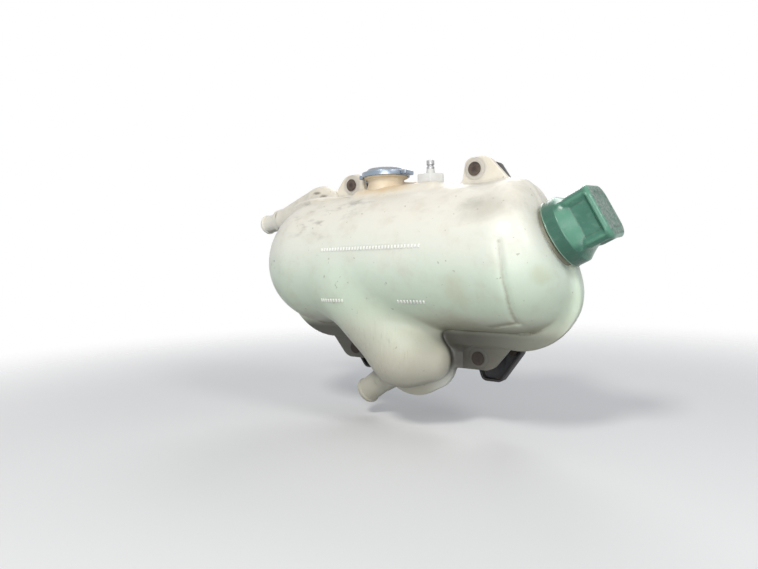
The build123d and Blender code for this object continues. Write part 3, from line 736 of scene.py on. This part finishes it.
def rod(p, start, end, start_r, end_r):
    """Distance to the taut skin round two balls of different size."""
    start, way = np.array(start), np.array(end) - np.array(start)
    reach = np.linalg.norm(way)
    along = (p - start) @ way / reach
    aside = np.linalg.norm(p - start - along[:, None] * way / reach, axis=1)
    narrow = (start_r - end_r) / reach
    wide = math.sqrt(1 - narrow ** 2)
    skin = aside * wide + along * narrow - start_r
    level = along - aside * narrow / wide
    return np.where(level < 0, np.hypot(aside, along) - start_r,
                    np.where(level > reach, np.hypot(aside, along - reach) - end_r, skin))


def barrel_distance(p):
    x, forward, z = p.T
    rise = z - BARREL_Z
    rho = np.hypot(forward, np.where(rise < 0, rise * BELLY_FLAT, rise))
    left = np.hypot(x - LEFT_X, rho) - BARREL_R
    right = np.hypot(np.maximum(x - RIGHT_X, 0), np.maximum(rho - (BARREL_R - END_R), 0)) - END_R
    return np.where(x < LEFT_X, left, right)


def filler_side(p):
    """Distance beyond the slanted filler face."""
    return (p[:, 0] - FILLER_X) * math.cos(FILLER_TILT) + (p[:, 2] - FILLER_Z) * math.sin(FILLER_TILT)


def box_distance(p, centre, half, corner):
    q = np.abs(p - np.array(centre)) - (np.array(half) - corner)
    return np.linalg.norm(np.maximum(q, 0), axis=1) + np.minimum(q.max(axis=1), 0) - corner


def outline_distance(p):
    """Distance to the rim's outline in the joint plane, seen from the front."""
    x, _, z = p.T
    rise = z - STRIP_Z
    strip = np.where(x < STRIP_LEFT, np.hypot(x - STRIP_LEFT, rise), np.abs(rise)) - STRIP_R
    strip = np.maximum(strip, np.maximum(x - RIM_X - RIM_R, np.minimum(RIM_Z - z, x - RIM_X)))
    bulge = np.hypot(x - RIM_X, z - RIM_Z) - RIM_R
    body = blend_cut(np.minimum(strip, bulge), filler_side(p), BLEND["rim"])
    flat = p * np.array((1, 0, 1))
    return blend_union(body, np.minimum(rod(flat, *SUMP_RIM), rod(flat, *TOE_RIM)), BLEND["rim and sump"])


def line_gap(p, runs):
    """How far a point lies from a line of straight runs, seen from the front."""
    flat = p[:, (0, 2)]
    gaps = []
    for start_x, start_z, end_x, end_z in runs:
        start, way = np.array((start_x, start_z)), np.array((end_x - start_x, end_z - start_z))
        share = np.clip((flat - start) @ way / (way @ way), 0, 1)
        gaps.append(np.linalg.norm(flat - start - share[:, None] * way, axis=1))
    return np.min(gaps, axis=0)


def relief(p, runs, depth, width):
    """A rounded groove or ridge along a line of runs."""
    return depth * np.exp(-(line_gap(p, runs) / width) ** 2)


def tank_distance(p):
    """Distance to the whole moulded form, below zero inside it."""
    x, forward, z = p.T
    form = blend_cut(barrel_distance(p), filler_side(p), BLEND["filler"])
    form = blend_union(form, blend_union(rod(p, *SUMP), rod(p, *TOE), BLEND["toe"]), BLEND["sump"])
    horn = np.minimum(rod(p, *HORN), rod(p, *HORN_TIP))
    horn = np.maximum(horn, (p - np.array(HORN[1])) @ np.array(HORN_WAY) - HORN_CUT)
    form = blend_union(form, horn, BLEND["horn"])
    form = blend_union(form, box_distance(p, PAD_CENTRE, PAD_HALF, PAD_CORNER), BLEND["pad"])
    outlet = rod(p, outlet_at(40), outlet_at(90), OUTLET_WIDE, OUTLET_NARROW)
    form = blend_union(form, outlet, BLEND["outlet"])
    form = blend_cut(form, -FORM_BACK - forward, BLEND["back"])

    outline = outline_distance(p)
    ledge = blend_cut(outline, np.abs(forward) - LEDGE, BLEND["ledge"])
    web = np.maximum(np.abs(x) - WEB_HALF, np.abs(z - WEB_Z) - WEB_HIGH)
    web_front = WEB_FRONT - WEB_DROP * ease_step(np.abs(x), *WEB_FALL)
    ledge = np.minimum(ledge, np.maximum(web, np.maximum(forward - web_front, -LEDGE - forward)))
    # The ledge melts into the form over a wider blend towards the filler face
    shell = blend_union(form, ledge, 4 + 14 * ease_step(x, 190, 238))
    pan = np.maximum(blend_cut(outline + PAN_INSET, -BACK - forward, BLEND["pan back"]), forward)

    fold = np.maximum(relief(p, CREASE[:3], FOLD_DEPTH, FOLD_WIDTH),
                      relief(p, CREASE[3:], NOTCH_DEPTH, NOTCH_WIDTH))
    fold = fold * np.clip((forward - FOLD_START) / FOLD_FADE, 0, 1)
    ridge = relief(p, RIDGE, RIDGE_HIGH, RIDGE_WIDTH) * np.clip(forward / 5, 0, 1)
    return blend_union(shell, pan, BLEND["pan"]) + fold - ridge


sample = np.array([[0, BARREL_R, BARREL_Z], [0, 0, BARREL_Z], [0, 150, BARREL_Z]])
print("distance at the barrel's front, axis and 48 mm outside:", tank_distance(sample).round(1))


# %% Simple forms
def ball(mesh, centre, radius):
    bmesh.ops.create_uvsphere(mesh, u_segments=48, v_segments=32, radius=radius * MM,
                              matrix=Matrix.Translation(at(*centre)))


def stick(mesh, start, end, start_r, end_r):
    a, b = at(*start), at(*end)
    bmesh.ops.create_cone(mesh, cap_ends=True, segments=64, radius1=start_r * MM, radius2=end_r * MM,
                          depth=(b - a).length, matrix=axes_at((a + b) / 2, b - a, (0.31, -1, 0.2)))


def block(mesh, centre, half):
    bmesh.ops.create_cube(mesh, size=2, matrix=Matrix.Translation(at(*centre)) @ Matrix.Diagonal(
        (*(h * MM for h in half), 1)))


forms = bmesh.new()
length = RIGHT_X - LEFT_X
quarter = math.pi / 2
profile = [(0, -BARREL_R)]
profile += [(BARREL_R * math.sin(a), -BARREL_R * math.cos(a)) for a in np.linspace(0.15, quarter, 12)]
profile += [(BARREL_R - END_R + END_R * math.cos(a), length + END_R * math.sin(a))
            for a in np.linspace(0, quarter, 10)]
profile += [(0, length + END_R)]
turned(forms, profile, axes_at(at(LEFT_X, 0, BARREL_Z), (1, 0, 0)), 72)
cut_off(forms, FILLER_BASE, FILLER_OUT)
for start, end, start_r, end_r in (SUMP, TOE, HORN):
    ball(forms, start, start_r)
    ball(forms, end, end_r)
    stick(forms, start, end, start_r, end_r)
stick(forms, HORN[1], HORN_END, HORN[3], HORN[3])
block(forms, PAD_CENTRE, PAD_HALF)
stick(forms, outlet_at(30), outlet_at(90), OUTLET_WIDE, OUTLET_NARROW)
for x, z, radius in ((STRIP_LEFT, STRIP_Z, STRIP_R), (RIM_X, RIM_Z, RIM_R), (4, -125, 65),
                     (-36, -76, 65), (33, -138, 40)):
    stick(forms, (x, -LEDGE, z), (x, LEDGE, z), radius, radius)
    stick(forms, (x, -BACK, z), (x, 0, z), radius - PAN_INSET, radius - PAN_INSET)
for centre, half_size in (((15, 0, -1), (165, 6, 111)), ((10, -18, -1), (155, 18, 99)),
                          ((-15, 0, -100), (62, 6, 40)), ((-15, -18, -100), (50, 18, 40)),
                          ((0, 0, WEB_Z), (WEB_HALF, LEDGE, WEB_HIGH))):
    block(forms, centre, half_size)
cut_off(forms, at(0, -BACK, 0), -FRONT)
print("simple forms:", len(forms.faces), "faces")

# %% Remesh and settle on the blended form
VOXEL = 2.6


def after_modifier(data, kind, **settings):
    """What a modifier makes of a mesh."""
    carrier = add_object("carrier", data)
    modifier = carrier.modifiers.new("shape", kind)
    for key, value in settings.items():
        setattr(modifier, key, value)
    bpy.context.view_layer.update()
    made = bpy.data.meshes.new_from_object(carrier.evaluated_get(bpy.context.evaluated_depsgraph_get()))
    bpy.data.objects.remove(carrier)
    return made


def settle(view, rounds, reach=5, small=0.05):
    """Moves points along the distance's slope until they lie on the blended surface."""
    for _ in range(rounds):
        distance = tank_distance(view)
        slope = np.empty_like(view)
        for axis, step in enumerate(np.eye(3) * small):
            slope[:, axis] = (tank_distance(view + step) - tank_distance(view - step)) / (2 * small)
        length = np.maximum(np.linalg.norm(slope, axis=1), 0.3)
        move = np.clip(distance / length, -reach, reach)
        view = view - slope / length[:, None] * move[:, None]
    return view


def settle_mesh(data, rounds):
    points = np.empty(len(data.vertices) * 3)
    data.vertices.foreach_get("co", points)
    view = settle(tank_view(points.reshape(-1, 3)), rounds)
    data.vertices.foreach_set("co", from_tank_view(view).ravel())
    return np.abs(tank_distance(view)).max()


merged = after_modifier(mesh_data("simple forms", forms), "REMESH", mode="VOXEL", voxel_size=VOXEL * MM)
settle_mesh(merged, 5)
body_mesh = bmesh.new()
body_mesh.from_mesh(merged)
for _ in range(3):
    bmesh.ops.smooth_vert(body_mesh, verts=body_mesh.verts, factor=0.5, use_axis_x=True, use_axis_y=True,
                          use_axis_z=True)
body_mesh.to_mesh(merged)
body_mesh.free()
left_over = settle_mesh(merged, 3)
print(f"tank surface: {len(merged.polygons)} faces, furthest {left_over:.2f} mm from the blended form")

# %% Two halves with open necks
FILLER_BORE, PRESSURE_BORE, INLET_BORE, OUTLET_BORE = 28, 21, 12, 16
INLET_OUT = Vector(HORN_WAY)
INLET_BASE = at(*HORN[1]) + INLET_OUT * INLET_REACH * MM
OUTLET_BASE = at(*OUTLET_FROM)
OUTLET_OUT = Vector((-math.cos(OUTLET_TILT), 0, -math.sin(OUTLET_TILT)))

# The way in below each neck is drilled, so a lifted cap shows an opening
DRILLS = ((FILLER_BASE, FILLER_OUT, FILLER_BORE, 60), (PRESSURE_BASE, UP, PRESSURE_BORE, 60),
          (INLET_BASE, INLET_OUT, INLET_BORE, 70), (OUTLET_BASE, OUTLET_OUT, OUTLET_BORE, 110))
drills = bmesh.new()
for base, out, radius, depth in DRILLS:
    bmesh.ops.create_cone(drills, cap_ends=True, segments=64, radius1=radius * MM, radius2=radius * MM,
                          depth=2 * depth * MM, matrix=axes_at(base, out))
drill = add_object("drills", mesh_data("drills", drills))
drilled = after_modifier(merged, "BOOLEAN", operation="DIFFERENCE", object=drill, solver="EXACT")
bpy.data.objects.remove(drill)


def half(away):
    """The part of the tank that lies on the other side of the joint plane from away."""
    mesh = bmesh.new()
    mesh.from_mesh(drilled)
    cut_off(mesh, at(0, 0, 0), away, near=1e-5)
    return mesh


tank_front = finish_piece("tank_front", half(-FRONT), tank_plastic, ("tank_front_shell",))

# %% [markdown]
# ## Ears and web
# Two ears above and one wide plate below, which holds the lower two ears and the web between them,
# carry on the rear half's rim. Each is an outline in the joint plane with its corners rounded, extruded
# to its thickness, with its front edge eased. A low ring stands round each bolt.

# %% Ears and web
EAR_X, EAR_Z, EAR_THICK, EAR_EASE, LEFT_EAR_SHIFT = 108, 128, 8, 1.3, 6
EAR_OUTLINE = ((-40, 92, 0), (-40, 109, 0), (-20.5, 109, 9), (-14, 144, 9),
               (19, 144, 9), (48, 110, 7), (58, 107, 0), (58, 92, 0))
LOWER_HALF = ((166, -92, 0), (166, -107, 0), (156, -110, 7), (127, -144, 9))
LOWER_OUTLINE = [(-x, z, rounding) for x, z, rounding in LOWER_HALF] + list(reversed(LOWER_HALF))
RING = ((0, 0.4), (12, 0.4), (13.6, 0.3), (15.5, -0.3), (15.5, -3), (0, -3))


def plate(mesh, outline):
    """A plate in the joint plane. The outline lists x, z and each corner's rounding."""
    before = set(mesh.faces)
    corners = [mesh.verts.new(at(x, 0, z)) for x, z, _ in outline]
    mesh.faces.new(corners)
    for corner, (_, _, rounding) in zip(corners, outline):
        if rounding:
            bmesh.ops.bevel(mesh, geom=[corner], offset=rounding * MM, segments=8, profile=0.5,
                            affect="VERTICES", material=-1)
    grown = bmesh.ops.extrude_face_region(mesh, geom=[f for f in mesh.faces if f not in before])["geom"]
    bmesh.ops.translate(mesh, vec=(0, EAR_THICK * MM, 0),
                        verts=[g for g in grown if isinstance(g, bmesh.types.BMVert)])
    made = [f for f in mesh.faces if f not in before]
    bmesh.ops.recalc_face_normals(mesh, faces=made)
    front_face = min(made, key=lambda f: f.calc_center_median().y)
    soften(mesh, list(front_face.edges), EAR_EASE)


rear = half(FRONT)
plate(rear, LOWER_OUTLINE)
for side_x, inwards in ((-1, LEFT_EAR_SHIFT), (1, 0)):
    plate(rear, [(side_x * (EAR_X + x - inwards), z, rounding) for x, z, rounding in EAR_OUTLINE])
    for side_z in (-1, 1):
        turned(rear, RING, axes_at(at(side_x * EAR_X, 0, side_z * EAR_Z), FRONT, (1, 0, 0)), 48)
finish_piece("tank_rear", rear, tank_plastic, ("tank_rear_shell",))

# %% [markdown]
# ## Level marks
# Rows of short raised bars mark the levels on the front. Each bar is a small eased block. A ray from
# the front finds the tank's skin, so every bar sits square on it.

# %% Level marks
BAR_WIDE, BAR_DEEP, BAR_EASE = 1.9, 3, 0.35


def eased_block(mesh, matrix, size, ease, segments):
    scale = Matrix.Diagonal((*(side * MM for side in size), 1))
    verts = bmesh.ops.create_cube(mesh, size=1, matrix=matrix @ scale)["verts"]
    soften(mesh, edges_of(verts), ease, segments)


skin = bmesh.new()
skin.from_mesh(tank_front.data)
skin_tree = BVHTree.FromBMesh(skin)
marks = bmesh.new()
for z, start, end, count, tall in LEVEL_ROWS:
    for x in np.linspace(start, end, count):
        hit, normal, _, _ = skin_tree.ray_cast(at(x, 200, z), -FRONT)
        eased_block(marks, axes_at(hit, normal, UP), (tall, BAR_WIDE, BAR_DEEP), BAR_EASE, 2)
skin.free()
finish_piece("level_marks", marks, mark_plastic)

# %% [markdown]
# ## Necks and hose ends
# The necks are turned shapes: a profile of radius and height is spun round the neck's axis. The filler
# neck carries a screw thread, which is a small ridge spun while it rises.

# %% Filler neck
THREAD_PITCH, THREAD_DEPTH = 8, 1.9
NECK_R, CAP_BORE = 32.5, 35
FILLER_PROFILE = ((28, -12), (28, 28), (32.5, 28), (32.5, 6), (34.5, 4.2), (37.2, 3.2), (38.5, -3))


def thread(mesh, matrix, radius, depth, start, turns, steps=40):
    """A ridge that climbs one pitch a turn. A negative depth points inwards."""
    before = set(mesh.verts)
    root, crest = radius - 0.2 * math.copysign(1, depth), radius + depth
    section = ((root, -1.7), (crest, -0.7), (crest, 0.7), (root, 1.7))
    verts = [mesh.verts.new((r * MM, 0, (start + h) * MM)) for r, h in section]
    face = mesh.faces.new(verts)
    bmesh.ops.spin(mesh, geom=[face] + list(face.edges) + verts, cent=(0, 0, 0), axis=(0, 0, 1),
                   dvec=(0, 0, THREAD_PITCH * MM / steps), angle=2 * math.pi * turns,
                   steps=int(turns * steps), use_merge=False, use_duplicate=False)
    put_in_place(mesh, before, matrix)


filler_axes = axes_at(FILLER_BASE, FILLER_OUT)
neck = bmesh.new()
turned(neck, [(FILLER_BORE, -14)] + rounded(FILLER_PROFILE, 1), filler_axes, 96)
thread(neck, filler_axes, NECK_R, THREAD_DEPTH, 13.5, 1.4)
finish_piece("filler_neck_visual", neck, collar_dirt_and_shade, ("filler_neck",))

# %% Pressure neck
PRESSURE_PROFILE = ((21, -8), (21, 20), (33, 20), (33, 15.6), (27.6, 14.2), (27, 7), (28.4, 2.6),
                    (31, -5))
NIPPLE_PROFILE = ((3.2, 22), (3.2, 52), (5, 52), (5, 51.2), (5.8, 50.6), (5.8, 48.2), (5, 47.6),
                  (5, 26))
NIPPLE_Z, NIPPLE_TURN, NIPPLE_BORE = 7, math.radians(60), 3.2
pressure_axes = axes_at(PRESSURE_BASE, UP)
nipple_out = Vector((math.cos(NIPPLE_TURN), math.sin(NIPPLE_TURN), 0))
nipple_axes = axes_at(PRESSURE_BASE + UP * NIPPLE_Z * MM, nipple_out, UP)
neck = bmesh.new()
turned(neck, [(PRESSURE_BORE, -10)] + rounded(PRESSURE_PROFILE, 1.2), pressure_axes, 80)
turned(neck, [(NIPPLE_BORE, 20)] + rounded(NIPPLE_PROFILE, 0.5), nipple_axes, 32)
finish_piece("pressure_neck_visual", neck, neck_plastic, ("pressure_neck",))

# %% Hose ends
INLET_PROFILE = ((12, -4), (12, 40), (14.6, 40), (15, 37.2), (16.8, 36.2), (16.8, 33.4), (15, 32.6),
                 (15, 4), (20, 4), (20, -4))
OUTLET_PROFILE = ((16, 62), (16, 132), (18.6, 132), (19, 129), (20.8, 128.4), (20.8, 125.4),
                  (19, 124.4), (19, 92), (24, 70), (26, 60))
HOSE_ENDS = (("inlet", (INLET_BORE, -6), INLET_PROFILE, 0.8, axes_at(INLET_BASE, INLET_OUT)),
             ("outlet", (OUTLET_BORE, 60), OUTLET_PROFILE, 0.9, axes_at(OUTLET_BASE, OUTLET_OUT)))
for name, first, hose_profile, ease, axes in HOSE_ENDS:
    hose_end = bmesh.new()
    turned(hose_end, [first] + rounded(hose_profile, ease), axes)
    finish_piece(f"{name}_end", hose_end, tank_plastic, (f"{name}_spigot",))

# %% [markdown]
# ## Filler cap
# The cap is a round skirt that flows into a square grip with a sunk panel on each side. It is spun as
# a round blank with many rings, and then each ring is pressed towards its own section: a circle at the
# skirt, a rounded square at the grip, and pushed in where a panel lies.

# %% Filler cap
SKIRT_R, GRIP_HALF, GRIP_CORNER = 43, 34.6, 15.5
PANEL_HALF, PANEL_SUNK, FACET_SUNK = 29.8, (27.5, 21), (37, 32)
FACET_FOOT, PANEL_FOOT, PANEL_TOP = 21.5, 38, 56.5
CAP_ROOF, CAP_TURN = 31.15, math.radians(5)


def square_radius(c, s, half_side, corner):
    """How far a rounded square reaches in the direction (c, s)."""
    c, s = np.abs(c), np.abs(s)
    inner = half_side - corner
    flat = half_side / np.maximum(np.maximum(c, s), 1e-9)
    along = inner * (c + s)
    arc = along + np.sqrt(np.maximum(along ** 2 - 2 * inner ** 2 + corner ** 2, 0))
    return np.where(flat * np.minimum(c, s) <= inner, flat, arc)


def press_cap(points):
    """Moves a round blank's outer points to the cap's section at their height."""
    x, y, h = points.T / MM
    radius = np.hypot(x, y)
    c, s = x / np.maximum(radius, 1e-9), y / np.maximum(radius, 1e-9)
    share = radius / SKIRT_R
    grip = square_radius(c, s, GRIP_HALF, GRIP_CORNER)
    skirt = SKIRT_R - 1.8 * ease_step(h, 26, 32)
    plain = skirt + (grip - skirt) * ease_step(h, 30, 40)
    big, small = np.maximum(np.abs(c), np.abs(s)), np.minimum(np.abs(c), np.abs(s))
    slope = np.clip((h - FACET_FOOT) / (PANEL_FOOT - FACET_FOOT), 0, 1)
    panel = PANEL_HALF + (GRIP_HALF + 1 - PANEL_HALF) * ease_step(h, PANEL_TOP, PANEL_TOP + 6)
    facet = (SKIRT_R + 0.3) * (1 - slope) + panel / big * slope
    spread = ease_step(h, PANEL_FOOT, FACET_FOOT)
    side_end, side_start = (edge + (foot - edge) * spread for edge, foot in zip(PANEL_SUNK, FACET_SUNK))
    wide = 1 - ease_step(plain * small, side_start, side_end)
    pressed = plain + np.minimum(facet - plain, 0) * wide
    new_radius = np.where(share > 0.93, pressed * share, np.where(share > 0.5, grip * share, radius))
    return np.stack((c * new_radius, s * new_radius, h), axis=1) * MM


blank = [(0, CAP_ROOF), (CAP_BORE, CAP_ROOF), (35, 7), (35.8, 6.1), (38, 6), (42.2, 6), (43, 6.2),
         (43.5, 6.9)]
blank += [(SKIRT_R, h) for h in (*np.linspace(7.6, 20.5, 8), *np.linspace(21.3, 59.2, 52))]
blank += [(34.5 + 8.5 * math.cos(a), 59.6 + 7 * math.sin(a)) for a in np.linspace(0, quarter, 12)]
blank += [(33, 66.7), (30.5, 66.6), (29.6, 66.2), (28.8, 66), (21.6, 66), (12, 66), (0, 66)]
cap_mesh = bmesh.new()
turned(cap_mesh, blank, Matrix.Identity(4), 200)
pressed_points = press_cap(np.array([v.co for v in cap_mesh.verts]))
for vert, place in zip(cap_mesh.verts, pressed_points):
    vert.co = place
thread(cap_mesh, Matrix.Identity(4), CAP_BORE, -THREAD_DEPTH, 17.5, 1.2)
bmesh.ops.transform(cap_mesh, matrix=filler_axes @ Matrix.Rotation(CAP_TURN, 4, "Z"), verts=cap_mesh.verts)
finish_piece("filler_cap_visual", cap_mesh, green_plastic, ("filler_cap",), "filler_cap",
             math.radians(50))

# %% [markdown]
# ## Pressure cap and sensor
# The pressure cap is a pressed disc with a curled skirt and two lugs that slide under the neck's lip.
# The sensor is a hexagon of white plastic with a plug on top.

# %% Pressure cap
LID_PROFILE = ((20, 23.2), (33.9, 23), (33.9, 17.1), (36, 17.1), (36, 24.4), (29.5, 25), (27, 29.6),
               (12, 29.2))
LUG_X, LUG_Z, LUG_SIZE, LUG_EASE = 39, 21, (9, 22, 6.5), 1.8
lid = bmesh.new()
turned(lid, [(0, 23.2)] + rounded(LID_PROFILE, 1.2) + [(0, 28.8)], pressure_axes, 80)
for side in (-1, 1):
    lug_place = PRESSURE_BASE + Vector((side * LUG_X, 0, LUG_Z)) * MM
    eased_block(lid, Matrix.Translation(lug_place), LUG_SIZE, LUG_EASE, 3)
finish_piece("pressure_cap_visual", lid, cap_steel, ("pressure_cap",), "pressure_cap")


# %% Level sensor
def hexagon(mesh, base, out, across_flats, tall, ease, turn=0):
    radius = across_flats / math.sqrt(3) * MM
    matrix = axes_at(base, out) @ Matrix.Rotation(turn, 4, "Z") @ Matrix.Translation(UP * tall * MM / 2)
    verts = bmesh.ops.create_cone(mesh, cap_ends=True, segments=6, radius1=radius, radius2=radius,
                                  depth=tall * MM, matrix=matrix)["verts"]
    soften(mesh, edges_of(verts), ease)


STEM_PROFILE = ((0, 12), (8, 12.6), (6.2, 14), (5.6, 21), (0, 21))
PLUG_PROFILE = ((0, 20.5), (5.5, 20.5), (5.5, 24), (4.2, 24.6), (4.2, 26), (5.5, 26.6), (5.5, 33), (0, 33))
sensor_axes = axes_at(SENSOR_BASE, UP)
sensor = bmesh.new()
hexagon(sensor, SENSOR_BASE, UP, 36, 13, 1.2)
turned(sensor, rounded(STEM_PROFILE, 0.8), sensor_axes, 40)
finish_piece("sensor_body", sensor, white_plastic, ("level_sensor_hex",))
plug = bmesh.new()
turned(plug, rounded(PLUG_PROFILE, 0.6), sensor_axes, 32)
finish_piece("sensor_plug", plug, terminal_steel, ("level_sensor_plug",))

# %% [markdown]
# ## Bolts
# The four ear bolts show clearly, so each is a hexagon with eased edges on its own round face, with its
# shank through the ear. Each is turned differently, as bolts end up.

# %% Ear bolts
HEAD_BEHIND, HEAD_FLATS, HEAD_TALL, HEAD_EASE, HEAD_TURN = 1.5, 16, 5.9, 1, 0.4
FACE_PROFILE = ((0, 0), (9, 0), (9.4, 0.3), (9, 0.9), (0, 0.9))
SHANK_PROFILE = ((0, 0.2), (4.9, 0.2), (4.9, -44), (0, -44))
for number in range(1, 5):
    low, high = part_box(f"ear_bolt_{number}")
    head = Vector(((low[0] + high[0]) / 2, (JOINT_Y - HEAD_BEHIND) * MM, (low[2] + high[2]) / 2))
    bolt_axes = axes_at(head, FRONT, (1, 0, 0))
    bolt = bmesh.new()
    hexagon(bolt, head + FRONT * 0.6 * MM, FRONT, HEAD_FLATS, HEAD_TALL, HEAD_EASE, HEAD_TURN * number)
    turned(bolt, FACE_PROFILE, bolt_axes, 32)
    turned(bolt, SHANK_PROFILE, bolt_axes, 24)
    finish_piece(f"ear_bolt_head_{number}", bolt, rusty_steel, (f"ear_bolt_{number}",),
                 angle=math.radians(25))

# %% [markdown]
# ## Bracket and the CAD pieces that stay
# The pressed bracket keeps its CAD shape, but sheet steel has no knife edges: a copy of its mesh is
# welded, its flat faces are joined, and its sharp edges are eased. The eased faces get the mark that
# the finish reads as worn, so the paint is rubbed through along every edge. The sleeves, the stand-offs,
# the firewall bolts and the two seals keep their CAD meshes and get a better finish.

# %% Bracket
SHARP_ANGLE, EDGE_EASE, WORN_MARK = math.radians(40), 0.8, -0.16
bracket = bmesh.new()
bracket.from_mesh(frame["nodes"]["mounting_bracket"].data)
bmesh.ops.remove_doubles(bracket, verts=bracket.verts, dist=1e-6)
bmesh.ops.dissolve_limit(bracket, angle_limit=math.radians(1), verts=bracket.verts, edges=bracket.edges)
rubbed = bracket.faces.layers.float.new("hollow")
sharp = [e for e in bracket.edges if len(e.link_faces) == 2 and e.calc_face_angle() > SHARP_ANGLE]
for face in soften(bracket, sharp, EDGE_EASE, 2, clamp=True):
    face[rubbed] = WORN_MARK
finish_piece("bracket_visual", bracket, dark_paint, ("mounting_bracket",), marked=True)

# %% CAD pieces that stay
KEPT = {"seal_rubber": seal_rubber, "sleeve_steel": sleeve_steel, "bolt_rust": rusty_steel,
        "bracket_paint": dark_paint}
slots = {sub["node"]: sub["material_slot"] for sub in frame["record"]["subparts"]}
kept_names = [name for name, obj in frame["nodes"].items() if not obj.hide_render]
for name in kept_names:
    materials = frame["nodes"][name].data.materials
    materials.clear()
    materials.append(KEPT[slots[name]])
print("CAD pieces kept:", ", ".join(sorted(kept_names)))

# %% Finish
low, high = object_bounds()
